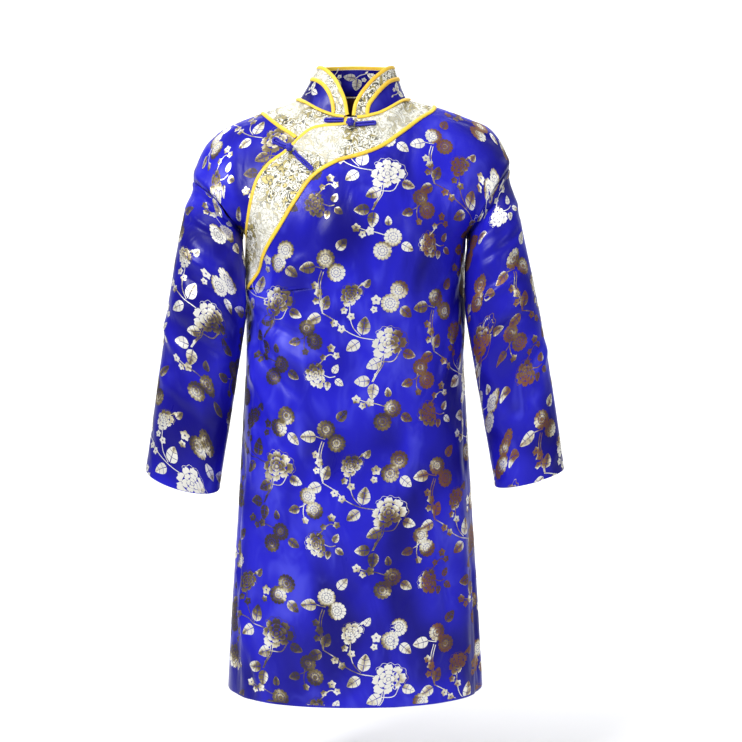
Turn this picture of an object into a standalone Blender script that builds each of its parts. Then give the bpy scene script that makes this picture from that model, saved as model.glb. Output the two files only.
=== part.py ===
"""A woman's padded burial robe, worn by nobody: satin shell, stand collar, brocade trim and knot buttons.

Metres, +Z up, the front towards -Y and the wearer's left towards +X.
The origin is the middle of the neck at the height where the collar meets the shoulders.

The body is one surface of two numbers, panel(turn, level). Turn is the angle from the front or
back centre, 90 degrees at the sides. Level is 0 at the armpits, 1 along the neck and shoulders,
and falls below 0 towards the hem. Each body piece is a stretch of that surface with a thickness,
and each trim is made from the points of the piece that it lies on, moved out.
"""

import math
from typing import NamedTuple

import bpy
import numpy as np

# Thicknesses and clearances.
WALL = 0.003
COLLAR_WALL = 0.0026
SEAM = 0.0003
SEAM_TURN = 0.0016
LAP_LIFT = WALL + 0.0008
LYING = 0.0008
SLEEVE_CLEARANCE = 0.0050
SLEEVE_START = 0.0005

# The body, from its hem to its armpits.
HEM = -1.184
ARMPIT = -0.273
RISE = 0.27
FULLNESS = 0.16
QUARTER = math.pi / 2

CORNER_SPREAD = math.radians(20)
CORNER_SHARES = ((-1.0, 0.10), (-0.5, 0.22), (0.0, 0.36), (0.5, 0.22), (1.0, 0.10))

# The neck, where the collar starts.
NECK_TURN = math.radians(28)
NECK_X = -0.005
NECK_HALF_WIDTH = 0.105
NECK_FRONT = 0.078
NECK_BACK = 0.072
NECK_FRONT_DROP = 0.041
NECK_BACK_RISE = 0.012
TOP_LEVEL = 0.9988
SIDE_SEAM_TURN = math.radians(12)
UNDER_REACH = math.radians(11)
LAP_BAND_TIP = math.radians(1.2)

# The trim: the yellow edges and the brocade between them.
EDGE_WIDTH = 0.007
PIPE_WIDTH = 0.0064
PIPE_HEIGHT = 0.0018

# The knot buttons: the middle of each knot and the ends of its bars in the front view (x, z), and
# the gaps below its right bar, its left bar and its knot.
CORD_RADIUS = 0.0022
KNOT_RADIUS = 0.0080
NECK_KNOT = (-0.0107, -0.0580)
NECK_GAPS = (0.0003, 0.0005, 0.0002)
NECK_BARS = (((-0.0594, -0.0492), (-0.0240, -0.0492)), ((-0.0010, -0.0605), (0.0376, -0.0570)))
CHEST_KNOT = (-0.1250, -0.1052)
CHEST_GAPS = (0.0005, 0.0012, 0.0007)
CHEST_BARS = (((-0.1590, -0.0857), (-0.1335, -0.1000)), ((-0.1175, -0.1130), (-0.0821, -0.1475)))


class BodySection(NamedTuple):
    height: float
    half_width: float
    front: float
    back: float


BODY = (
    BodySection(-1.184, 0.2590, 0.1650, 0.1720),
    BodySection(-1.000, 0.2480, 0.1640, 0.1690),
    BodySection(-0.800, 0.2340, 0.1630, 0.1660),
    BodySection(-0.640, 0.2243, 0.1620, 0.1600),
    BodySection(-0.500, 0.2165, 0.1590, 0.1500),
    BodySection(-0.400, 0.2165, 0.1620, 0.1480),
    BodySection(-0.330, 0.2180, 0.1690, 0.1540),
    BodySection(-0.273, 0.2205, 0.1720, 0.1600),
    BodySection(-0.220, 0.2240, 0.1700, 0.1640),
)


class RidgePoint(NamedTuple):
    """A point of the shoulder line, from the neck out to where the sleeve is sewn on."""

    out: float
    height: float
    depth: float


RIGHT_RIDGE = (
    RidgePoint(0.1100, 0.0000, 0.000),
    RidgePoint(0.1750, -0.0235, 0.000),
    RidgePoint(0.2300, -0.0440, 0.000),
    RidgePoint(0.2700, -0.0640, -0.001),
    RidgePoint(0.2960, -0.0890, -0.003),
    RidgePoint(0.3150, -0.1280, -0.006),
    RidgePoint(0.3230, -0.1620, -0.008),
)
LEFT_RIDGE = (
    RidgePoint(0.1000, 0.0000, 0.000),
    RidgePoint(0.1700, -0.0180, 0.000),
    RidgePoint(0.2277, -0.0389, 0.000),
    RidgePoint(0.2657, -0.0560, -0.001),
    RidgePoint(0.2850, -0.0780, -0.003),
    RidgePoint(0.2985, -0.1070, -0.006),
    RidgePoint(0.3055, -0.1360, -0.008),
)


class SleeveSection(NamedTuple):
    """A section through a sleeve: its outer and inner points, then its middle and half depths."""

    outer: float
    outer_height: float
    inner: float
    inner_height: float
    middle: float
    front: float
    back: float


RIGHT_SLEEVE = (
    SleeveSection(0.3230, -0.1620, 0.2205, -0.273, -0.006, 0.080, 0.080),
    SleeveSection(0.3360, -0.2130, 0.2200, -0.290, -0.030, 0.074, 0.078),
    SleeveSection(0.3505, -0.2920, 0.2150, -0.334, -0.052, 0.070, 0.072),
    SleeveSection(0.3675, -0.3920, 0.2140, -0.409, -0.056, 0.067, 0.068),
    SleeveSection(0.3805, -0.4710, 0.2265, -0.488, -0.045, 0.065, 0.066),
    SleeveSection(0.3980, -0.5910, 0.2475, -0.618, -0.043, 0.062, 0.062),
    SleeveSection(0.4165, -0.7110, 0.2695, -0.748, -0.040, 0.058, 0.058),
    SleeveSection(0.4200, -0.7325, 0.2730, -0.773, -0.040, 0.057, 0.057),
)
LEFT_SLEEVE = (
    SleeveSection(0.3055, -0.1360, 0.2205, -0.273, -0.006, 0.080, 0.080),
    SleeveSection(0.3170, -0.1960, 0.2200, -0.290, -0.024, 0.072, 0.078),
    SleeveSection(0.3330, -0.2780, 0.2150, -0.334, -0.046, 0.070, 0.072),
    SleeveSection(0.3570, -0.3920, 0.2150, -0.409, -0.056, 0.067, 0.068),
    SleeveSection(0.3735, -0.4715, 0.2275, -0.485, -0.045, 0.065, 0.066),
    SleeveSection(0.3950, -0.5920, 0.2510, -0.615, -0.043, 0.062, 0.062),
    SleeveSection(0.4140, -0.7130, 0.2745, -0.744, -0.040, 0.058, 0.058),
    SleeveSection(0.4165, -0.7330, 0.2785, -0.769, -0.040, 0.057, 0.057),
)


class Crease(NamedTuple):
    """A soft ridge or trough, from one point to another.

    Across is the way round the cloth from the middle of the piece, and height is the height in
    the robe. Rise is its height from the cloth, below 0 for a trough.
    """

    across: float
    height: float
    to_across: float
    to_height: float
    half_width: float
    rise: float


FRONT_CREASES = (
    Crease(-0.300, -0.350, -0.190, -0.440, 0.026, 0.0060),
    Crease(-0.290, -0.290, -0.160, -0.390, 0.025, -0.0055),
    Crease(-0.310, -0.400, -0.220, -0.490, 0.026, -0.0055),
    Crease(-0.300, -0.470, -0.230, -0.560, 0.026, 0.0045),
    Crease(0.335, -0.300, 0.230, -0.450, 0.022, -0.0050),
    Crease(0.340, -0.370, 0.270, -0.530, 0.022, 0.0045),
    Crease(-0.275, -0.700, -0.215, -1.230, 0.026, 0.0080),
    Crease(-0.300, -0.640, -0.262, -1.230, 0.020, -0.0080),
    Crease(0.290, -0.820, 0.262, -1.230, 0.022, -0.0060),
    Crease(0.245, -0.740, 0.225, -1.230, 0.026, 0.0050),
    Crease(0.052, -0.860, 0.062, -1.230, 0.016, 0.0022),
)
BACK_CREASES = (
    Crease(0.330, -0.300, 0.190, -0.430, 0.020, 0.0060),
    Crease(-0.330, -0.300, -0.200, -0.450, 0.020, 0.0060),
    Crease(0.180, -0.340, 0.235, -1.230, 0.024, -0.0085),
    Crease(0.105, -0.300, 0.135, -1.230, 0.026, 0.0075),
    Crease(0.030, -0.330, 0.045, -1.230, 0.024, -0.0080),
    Crease(-0.045, -0.300, -0.055, -1.230, 0.026, 0.0080),
    Crease(-0.120, -0.350, -0.150, -1.230, 0.024, -0.0085),
    Crease(-0.195, -0.320, -0.245, -1.230, 0.026, 0.0070),
    Crease(0.250, -0.500, 0.290, -1.230, 0.024, 0.0065),
)
# On a sleeve, across is measured from its outer line, over the front to +, over the back to -.
RIGHT_SLEEVE_CREASES = (
    Crease(0.010, -0.250, 0.200, -0.350, 0.022, 0.0060),
    Crease(0.015, -0.310, 0.215, -0.420, 0.018, -0.0050),
    Crease(0.020, -0.390, 0.205, -0.480, 0.020, 0.0050),
    Crease(0.000, -0.470, 0.190, -0.580, 0.022, -0.0035),
    Crease(0.060, -0.600, 0.160, -0.740, 0.020, 0.0030),
    Crease(-0.010, -0.240, -0.190, -0.330, 0.022, 0.0060),
    Crease(-0.015, -0.300, -0.200, -0.400, 0.020, -0.0055),
    Crease(-0.020, -0.380, -0.190, -0.490, 0.022, 0.0050),
    Crease(-0.050, -0.560, -0.150, -0.700, 0.022, -0.0030),
)
LEFT_SLEEVE_CREASES = (
    Crease(0.010, -0.220, 0.190, -0.340, 0.022, 0.0050),
    Crease(0.015, -0.290, 0.205, -0.400, 0.020, -0.0050),
    Crease(0.020, -0.360, 0.190, -0.460, 0.020, 0.0045),
    Crease(0.040, -0.500, 0.170, -0.560, 0.024, -0.0030),
    Crease(0.050, -0.610, 0.150, -0.720, 0.022, 0.0035),
    Crease(-0.010, -0.230, -0.180, -0.340, 0.022, 0.0055),
    Crease(-0.020, -0.310, -0.200, -0.420, 0.020, -0.0050),
    Crease(-0.020, -0.400, -0.190, -0.500, 0.022, 0.0045),
    Crease(-0.060, -0.580, -0.150, -0.690, 0.022, -0.0030),
)
# How far the body's cloth puffs out beside a sleeve seam, and how deep the seam lies.
PUFF = 0.0085
PUFF_WIDTH = 0.020
SEAM_DEPTH = 0.0050

# The slanting edge of the lap in the front view, as the middle of its yellow edge (x, z).
LAP_EDGE = (
    (-0.0150, -0.0560),
    (-0.0520, -0.0585),
    (-0.0860, -0.0660),
    (-0.1100, -0.0850),
    (-0.1330, -0.1080),
    (-0.1660, -0.1320),
    (-0.1880, -0.1600),
    (-0.2000, -0.1980),
    (-0.2080, -0.2400),
    (-0.2140, -0.2720),
)
# Below the armpit the lap's edge runs down the side: (height, turn in degrees).
SIDE_EDGE = (
    (-1.200, -94.0),
    (-1.110, -93.0),
    (-1.040, -90.5),
    (-0.940, -90.5),
    (-0.860, -93.5),
    (-0.640, -94.0),
    (-0.560, -91.0),
    (-0.400, -90.0),
    (-0.320, -88.5),
)
# The inner line of the lap's brocade, from the left shoulder to the right side (x, z).
LAP_TRIM = (
    (0.1560, -0.0180),
    (0.1180, -0.0480),
    (0.0820, -0.0760),
    (0.0460, -0.1010),
    (0.0080, -0.1160),
    (-0.0380, -0.1300),
    (-0.0800, -0.1560),
    (-0.1130, -0.2010),
    (-0.1420, -0.2480),
    (-0.1680, -0.2900),
    (-0.1880, -0.3330),
    (-0.2050, -0.3750),
)
# The outer line of the brocade on the right shoulder and over the back (x, z).
SHOULDER_TRIM = (
    (-0.1850, -0.0280),
    (-0.1680, -0.0430),
    (-0.1490, -0.0580),
    (-0.1280, -0.0720),
    (-0.1100, -0.0850),
    (-0.0950, -0.0950),
)
BACK_TRIM = (
    (-0.1850, -0.0280),
    (-0.1500, -0.0600),
    (-0.0900, -0.0820),
    (-0.0100, -0.0880),
    (0.0700, -0.0780),
    (0.1250, -0.0500),
    (0.1560, -0.0180),
)

# The collar. Its height is taken all round, from its seam to a top that the front opening cuts.
COLLAR_GAP = 0.0022
COLLAR_X = 0.000
COLLAR_TOP_HALF_WIDTH = 0.0785
COLLAR_TOP_FRONT = 0.060
COLLAR_TOP_BACK = 0.058
COLLAR_SIDE = 0.0585
COLLAR_FRONT_DROP = -0.004
COLLAR_BACK_RISE = 0.0070
COLLAR_HEIGHT = 0.068
COLLAR_BAND_DROP = 0.36
# The edges of the brocade on the collar, from the neck seam up, as they show from the front (x, z).
COLLAR_EDGE_RIGHT = (
    (-0.0200, -0.0400),
    (-0.0263, -0.0066),
    (-0.0340, 0.0124),
    (-0.0428, 0.0300),
    (-0.0537, 0.0433),
    (-0.0660, 0.0540),
    (-0.0755, 0.0580),
)
COLLAR_EDGE_LEFT = (
    (-0.0010, -0.0400),
    (0.0044, -0.0138),
    (0.0133, 0.0022),
    (0.0240, 0.0163),
    (0.0365, 0.0305),
    (0.0510, 0.0435),
    (0.0655, 0.0545),
    (0.0755, 0.0580),
)
COLLAR_BAND_RIGHT = (
    (-0.0425, -0.0385),
    (-0.0457, -0.0131),
    (-0.0513, 0.0036),
    (-0.0610, 0.0196),
    (-0.0724, 0.0304),
    (-0.0850, 0.0370),
)
COLLAR_BAND_LEFT = (
    (0.0212, -0.0390),
    (0.0259, -0.0160),
    (0.0369, -0.0005),
    (0.0501, 0.0154),
    (0.0667, 0.0304),
    (0.0820, 0.0380),
)
# Where the fronts close at the neck.
CLOSING_TURN = math.radians(-2.2)

COLOURS = {
    "satin": ((0.030, 0.014, 0.560, 1.0), 0.32, 0.0),
    "brocade": ((0.760, 0.740, 0.590, 1.0), 0.45, 0.2),
    "yellow_trim": ((0.930, 0.560, 0.060, 1.0), 0.40, 0.0),
    "cord": ((0.018, 0.014, 0.420, 1.0), 0.36, 0.0),
}


def smooth_step(share):
    """0 up to 0, 1 from 1 on, and an even S between them."""
    share = np.clip(share, 0.0, 1.0)
    return share * share * (3.0 - 2.0 * share)


def hermite(start, end, leaving, arriving, share):
    """The cubic from start to end with those directions at its ends."""
    square, cube = share**2, share**3
    return (
        start * (2 * cube - 3 * square + 1)
        + end * (3 * square - 2 * cube)
        + leaving * (cube - 2 * square + share)
        + arriving * (cube - square)
    )


def through(knots, values, at):
    """The smooth curve through the values at the knots, read at each of the places."""
    knots, values = np.asarray(knots, float), np.asarray(values, float)
    slopes = np.gradient(values, knots, axis=0)
    at = np.clip(np.asarray(at, float), knots[0], knots[-1])
    cell = np.clip(np.searchsorted(knots, at, side="right") - 1, 0, len(knots) - 2)
    width = knots[cell + 1] - knots[cell]
    share = (at - knots[cell]) / width
    if values.ndim > 1:
        width, share = width[..., None], share[..., None]
    return hermite(values[cell], values[cell + 1], slopes[cell] * width, slopes[cell + 1] * width, share)


def evenly_through(points, count):
    """That many points, an even distance apart along the smooth curve through the points."""
    points = np.asarray(points, float)
    steps = np.linalg.norm(np.diff(points, axis=0), axis=1)
    knots = np.concatenate([[0.0], np.cumsum(steps)])
    return through(knots, points, np.linspace(0.0, knots[-1], count))


def unit(vectors):
    return vectors / np.maximum(np.linalg.norm(vectors, axis=-1, keepdims=True), 1e-12)


def mix(first, second, share):
    return first + (second - first) * share


def ring(turn, height, back):
    """A point of the body's section at a height: half an ellipse, filled out between its axes."""
    knots = [row.height for row in BODY]
    width = through(knots, [row.half_width for row in BODY], height)
    depth = through(knots, [row.back if back else row.front for row in BODY], height)
    side = np.sin(turn)
    away = depth * np.cos(turn) * (1.0 + FULLNESS * side**2)
    return np.stack([width * side, away if back else -away, np.broadcast_to(height, side.shape)], axis=-1)


def shoulder_line(turn):
    """The shoulder line where the turn is past the neck, on the side that the turn is on."""
    share = (np.abs(turn) - NECK_TURN) / (QUARTER - NECK_TURN)
    found = []
    for rows, sign in ((RIGHT_RIDGE, -1.0), (LEFT_RIDGE, 1.0)):
        points = np.array([(sign * row.out, row.depth, row.height) for row in rows])
        steps = np.linalg.norm(np.diff(points, axis=0), axis=1)
        knots = np.concatenate([[0.0], np.cumsum(steps)]) / steps.sum()
        found.append(through(knots, points, share))
    return np.where((turn < 0)[..., None], found[0], found[1])


def neck_line(turn, back):
    """The neck seam: half an ellipse that drops towards the front and rises towards the back."""
    around = QUARTER * np.clip(turn / NECK_TURN, -1.0, 1.0)
    forward = np.cos(around)
    depth = NECK_BACK * forward if back else -NECK_FRONT * forward
    height = NECK_BACK_RISE * forward**2 if back else -NECK_FRONT_DROP * forward**2
    return np.stack([NECK_X + NECK_HALF_WIDTH * np.sin(around), depth, height], axis=-1)


def top_line(turn, back):
    """The top edge of a panel, and the direction in which the cloth arrives there."""
    past_neck = np.abs(turn) > NECK_TURN
    points = np.where(past_neck[..., None], shoulder_line(turn), neck_line(turn, back))
    share = smooth_step(np.abs(turn) / NECK_TURN)[..., None]
    out = np.clip((np.abs(turn) - NECK_TURN) / (QUARTER - NECK_TURN), 0.0, 1.0)[..., None]
    over_shoulder = np.array([0.0, -1.0 if back else 1.0, 0.0]) * mix(0.15, 0.22, out)
    up_neck = np.array([0.0, -0.055, 0.125]) if back else np.array([0.0, 0.075, 0.085])
    return points, mix(up_neck, over_shoulder, share)


def softened_top(turn, level, back):
    """The top line as the cloth below it follows it: its corner at the neck is evened out there."""
    spread = CORNER_SPREAD * smooth_step((1.0 - level) / 0.45)
    spread = spread * np.clip((QUARTER - np.abs(turn)) / 0.5, 0.0, 1.0)
    parts = [(top_line(turn + offset * spread, back), share) for offset, share in CORNER_SHARES]
    points = sum(found[0] * share for found, share in parts)
    return points, sum(found[1] * share for found, share in parts)


def panel(turn, level, back):
    """A point of the body, front or back, before its folds.

    Below level 0 it is a section of the body. From 0 to 1 it is a cubic from the armpit's section
    to the neck and shoulder line, which near the sides bows out round the arm.
    """
    turn, level = np.broadcast_arrays(np.asarray(turn, float), np.asarray(level, float))
    below = ring(turn, ARMPIT + RISE * np.minimum(level, 0.0), back)
    foot = ring(turn, np.full(turn.shape, ARMPIT), back)
    step = 0.004
    leaving = ring(turn, np.full(turn.shape, ARMPIT + step), back) - foot
    leaving = leaving * (RISE / step)
    bow = np.array([0.0, 0.36, -0.12]) if back else np.array([0.0, -0.36, -0.12])
    leaving = leaving + bow * (np.sin(turn) ** 8)[..., None]
    top, arriving = softened_top(turn, np.maximum(level, 0.0), back)
    above = hermite(foot, top, leaving, arriving, np.maximum(level, 0.0)[..., None])
    return np.where(level[..., None] > 0, above, below)


def normals_of(surface, first, second, step=1e-3):
    """Unit normals of a surface of two numbers, from its differences."""
    along = surface(first + step, second) - surface(first - step, second)
    up = surface(first, second + step) - surface(first, second - step)
    return unit(np.cross(along, up))


def panel_normal(turn, level, back):
    """The outward normal of the body's surface."""
    turn, level = np.broadcast_arrays(np.asarray(turn, float), np.asarray(level, float))
    inner_turn = np.clip(turn, -QUARTER + 2e-3, QUARTER - 2e-3)
    inner_level = np.minimum(level, 1.0 - 2e-3)
    normal = normals_of(lambda a, b: panel(a, b, back), inner_turn, inner_level)
    return -normal if back else normal


def creased(across, height, creases):
    """How far the creases raise the cloth at places across and height.

    Each one is a bell across its line, which fades over a quarter of its length at each end.
    """
    total = np.zeros(np.broadcast(across, height).shape)
    for crease in creases:
        line = np.array([crease.to_across - crease.across, crease.to_height - crease.height])
        length = np.hypot(*line)
        line = line / length
        from_start = (across - crease.across) * line[0] + (height - crease.height) * line[1]
        beside = (across - crease.across) * line[1] - (height - crease.height) * line[0]
        share = from_start / length
        fade = smooth_step(share / 0.25) * smooth_step((1.0 - share) / 0.25)
        total = total + crease.rise * fade * np.exp(-((beside / crease.half_width) ** 2))
    return total


def body_folds(turn, level, points, back):
    """The rise of the body's cloth: its creases, and the puff beside a sleeve seam."""
    across = 0.22 * turn
    rise = creased(across, points[..., 2], BACK_CREASES if back else FRONT_CREASES)
    from_seam = (QUARTER - np.abs(turn)) * 0.20
    puff = PUFF * np.exp(-(((from_seam - 0.6 * PUFF_WIDTH) / (0.62 * PUFF_WIDTH)) ** 2))
    sink = SEAM_DEPTH * np.exp(-((from_seam / (0.45 * PUFF_WIDTH)) ** 2))
    beside_sleeve = smooth_step(level / 0.25) * (1.0 - 0.75 * smooth_step((level - 0.72) / 0.28))
    quiet_neck = 1.0 - smooth_step((level - 0.55) / 0.25) * (1.0 - smooth_step((np.abs(turn) - 1.1) / 0.3))
    return rise * quiet_neck + (puff - sink) * beside_sleeve


def lap_edge_turn(height):
    """The turn of the lap's edge below the armpit."""
    rows = np.array(SIDE_EDGE)
    return np.radians(through(rows[:, 0], rows[:, 1], height))


def body_surface(turn, level, back):
    """The body's outer surface with its folds, and its normals.

    Past the side, a turn over 90 degrees on the front is the back's surface, so that the lap's
    edge can lie just round the side.
    """
    turn, level = np.broadcast_arrays(np.asarray(turn, float), np.asarray(level, float))
    points, normals = np.empty(turn.shape + (3,)), np.empty(turn.shape + (3,))
    for is_back in (False, True):
        chosen = (np.abs(turn) > QUARTER) != (is_back == back)
        if not chosen.any():
            continue
        flat_turn = turn[chosen]
        folded = np.where(np.abs(flat_turn) > QUARTER, np.sign(flat_turn) * math.pi - flat_turn, flat_turn)
        base = panel(folded, level[chosen], is_back)
        normal = panel_normal(folded, level[chosen], is_back)
        rise = body_folds(folded, level[chosen], base, is_back)
        points[chosen] = base + normal * rise[..., None]
        normals[chosen] = normal
    return points, normals


def armhole_normal(points, side):
    """The direction in which walls are thick at a sleeve seam, the same for both of its pieces.

    It points away from the middle of the armhole, and straight down at the armpit.
    """
    rows = RIGHT_SLEEVE if side < 0 else LEFT_SLEEVE
    outer = np.array([side * rows[0].outer, rows[0].middle, rows[0].outer_height])
    inner = np.array([side * rows[0].inner, rows[0].middle, rows[0].inner_height])
    middle, half = (outer + inner) / 2, (outer - inner) / 2
    away = points - middle
    share = (1.0 + (away @ half) / (half @ half)) / 2
    away[..., 0] *= np.clip(share, 0.0, 1.0)
    return unit(away)


def wall_direction(turn, level, points, normals):
    """The normals, turned near a sleeve seam to what the sleeve's wall uses there too."""
    near = smooth_step((np.abs(turn) - math.radians(76)) / math.radians(14))
    near = near * smooth_step(1.0 + level / 0.10) * (np.abs(turn) <= QUARTER + 1e-6)
    shared = np.where(
        (turn < 0)[..., None], armhole_normal(points, -1.0), armhole_normal(points, 1.0)
    )
    return unit(mix(normals, shared, near[..., None]))


class Piece(NamedTuple):
    """A stretch of cloth on a grid: its outer points, and the direction of its thickness."""

    points: np.ndarray
    outward: np.ndarray


def front_at(positions, back=False):
    """Turn and level of the points of a panel that show at (x, z) in the front view.

    It halves the range of level, and for each level that of turn, until both are found.
    """
    positions = np.asarray(positions, float)
    low, high = np.full(len(positions), -0.9), np.full(len(positions), 1.0)
    for _ in range(26):
        level = (low + high) / 2
        left, right = np.full(len(positions), -QUARTER), np.full(len(positions), QUARTER)
        for _ in range(26):
            turn = (left + right) / 2
            too_far = panel(turn, level, back)[:, 0] > positions[:, 0]
            left, right = np.where(too_far, left, turn), np.where(too_far, turn, right)
        too_high = panel(turn, level, back)[:, 2] > positions[:, 1]
        low, high = np.where(too_high, low, level), np.where(too_high, level, high)
    return turn, level


def slid(turn, level, by, back=False):
    """A path on the body moved sideways by a distance, to the right of the way it runs."""
    step = 1e-4
    points, normals = panel(turn, level, back), panel_normal(turn, level, back)
    sideways = unit(np.cross(np.gradient(points, axis=0), normals)) * by
    per_turn = (panel(turn + step, level, back) - panel(turn - step, level, back)) / (2 * step)
    per_level = (panel(turn, level, back) - panel(turn, level - step, back)) / step
    a, b, c = (per_turn**2).sum(-1), (per_turn * per_level).sum(-1), (per_level**2).sum(-1)
    p, q = (per_turn * sideways).sum(-1), (per_level * sideways).sum(-1)
    spread = a * c - b * b
    return turn + (p * c - q * b) / spread, level + (q * a - p * b) / spread


def level_of(height):
    return (height - ARMPIT) / RISE


def wall_mesh(outer, inner, closed_round=False):
    """Points and faces of a wall between two grids. Its last column meets its first if closed."""
    rows, columns = outer.shape[:2]
    points = np.concatenate([outer.reshape(-1, 3), inner.reshape(-1, 3)])
    index = np.arange(rows * columns).reshape(rows, columns)
    if closed_round:
        index = np.concatenate([index, index[:, :1]], axis=1)
    other = index + rows * columns

    def quads(a, b, c, d):
        return np.stack([a.ravel(), b.ravel(), c.ravel(), d.ravel()], axis=1)

    faces = [
        quads(index[:-1, :-1], index[:-1, 1:], index[1:, 1:], index[1:, :-1]),
        quads(other[:-1, :-1], other[1:, :-1], other[1:, 1:], other[:-1, 1:]),
        quads(index[0, 1:], index[0, :-1], other[0, :-1], other[0, 1:]),
        quads(index[-1, :-1], index[-1, 1:], other[-1, 1:], other[-1, :-1]),
    ]
    if not closed_round:
        faces.append(quads(index[:-1, 0], index[1:, 0], other[1:, 0], other[:-1, 0]))
        faces.append(quads(index[1:, -1], index[:-1, -1], other[:-1, -1], other[1:, -1]))
    return points, np.concatenate(faces)


def material(name):
    found = bpy.data.materials.get(name)
    if found:
        return found
    colour, roughness, metallic = COLOURS[name]
    found = bpy.data.materials.new(name)
    found.use_nodes = True
    shader = found.node_tree.nodes["Principled BSDF"]
    shader.inputs["Base Color"].default_value = colour
    shader.inputs["Roughness"].default_value = roughness
    shader.inputs["Metallic"].default_value = metallic
    return found


def add_wall(name, piece, thickness, finish, closed_round=False):
    inner = piece.points - piece.outward * thickness
    points, faces = wall_mesh(piece.points, inner, closed_round)
    link(name, points, faces.tolist(), finish)


def body_piece(turn, level, back=False, lift=0.0):
    """The outer points of a grid of turns and levels, moved out by a lift, and their directions."""
    turn, level = np.broadcast_arrays(turn, level)
    points, normals = body_surface(turn, level, back)
    outward = wall_direction(turn, level, points, normals)
    return Piece(points + outward * np.broadcast_to(lift, turn.shape)[..., None], outward)


class FrontRows(NamedTuple):
    """The rows that both fronts share, from the hem up.

    Each has its level, and the turns of the right side, the lap's edge, the inner line of the
    lap's brocade, and the outer line of the brocade on the right shoulder.
    """

    level: np.ndarray
    side: np.ndarray
    edge: np.ndarray
    lap_trim: np.ndarray
    shoulder_trim: np.ndarray


def turns_of(line, slide=0.0, count=80):
    """A line given in the front view, as the levels that it passes and its turn at each."""
    turn, level = front_at(evenly_through(line, count))
    if slide:
        turn, level = slid(turn, level, slide)
    order = np.argsort(level)
    return level[order], turn[order]


def front_rows(rows_above=16, rows_at_neck=5, rows_below=20):
    """The shared rows: even below the armpit, and above it no further apart along any line."""
    edge_level, edge_turn = turns_of(LAP_EDGE, -(EDGE_WIDTH / 2 + SEAM))
    trim_level, trim_turn = turns_of(LAP_TRIM)
    shoulder_level, shoulder_turn = turns_of(SHOULDER_TRIM)
    corner = edge_level[-1]
    dense = np.linspace(0.0, corner, 300)
    steps = np.full(len(dense) - 1, RISE * corner / 299)
    for at, turn in ((edge_level, edge_turn), (trim_level, trim_turn)):
        steps = np.maximum(steps, 0.22 * np.abs(np.diff(np.interp(dense, at, turn))))
    run = np.concatenate([[0.0], np.cumsum(steps)])
    middle = np.interp(np.linspace(0.0, run[-1], rows_above + 1), run, dense)
    low = level_of(np.linspace(HEM, ARMPIT, rows_below + 1))[:-1]
    height = ARMPIT + RISE * low
    low_turn = mix(edge_turn[0], lap_edge_turn(height), smooth_step((ARMPIT - height) / 0.10))
    top = np.linspace(corner, TOP_LEVEL, rows_at_neck + 1)[1:]
    level = np.concatenate([low, middle, top])
    edge = np.concatenate([low_turn, np.interp(middle, edge_level, edge_turn), top * 0 + edge_turn[-1]])
    return FrontRows(
        level,
        under_side_turn(level),
        edge,
        np.interp(level, trim_level, trim_turn, left=-math.pi),
        np.interp(level, shoulder_level, shoulder_turn),
    )


def under_side_turn(level):
    """The turn of the right side seam: at the side from the armpit up, and behind it below."""
    return -QUARTER - SIDE_SEAM_TURN * smooth_step(-level / 0.35)


def columns_between(starts, ends, level, columns, neck_marks=()):
    """Turns on a grid: even columns, which near the neck gather so that some meet its marks.

    Neck marks are pairs of a column and the turn that it has along the top edge.
    """
    share = np.linspace(0.0, 1.0, columns + 1)
    even = starts[:, None] + (ends - starts)[:, None] * share
    marks = [(0, starts[-1]), *neck_marks, (columns, ends[-1])]
    gathered = np.interp(np.arange(columns + 1), [m[0] for m in marks], [m[1] for m in marks])
    weight = smooth_step((level - 0.72) / 0.28)[:, None]
    return mix(even, gathered, weight)


def over_neck(level):
    """1 over most of the front, down to 0 where the lap comes into the neck seam."""
    return 1.0 - smooth_step((level - 0.90) / 0.09)


def lap_lift(turn, level, edge):
    """How far the lap lies over the right front: all of it near its edge, and none further on."""
    fade = 1.0 - smooth_step((turn - edge - math.radians(15)) / math.radians(22))
    return LAP_LIFT * fade * over_neck(level)


def under_drop(turn, level, edge):
    """How far the right front sinks below its own surface where the lap covers it."""
    beneath = 0.0080 * smooth_step((turn - edge) / math.radians(7))
    at_neck = (1.0 - over_neck(level)) * smooth_step((turn - edge) / math.radians(3.0) + 1.0)
    return beneath + LAP_LIFT * at_neck


def seam_shift(level, turn):
    """Half of the gap at a seam, as a turn along the rows that the seam crosses."""
    slope = np.gradient(turn, level) * 0.22 / 0.27
    return SEAM_TURN * np.sqrt(1.0 + slope**2)


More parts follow.
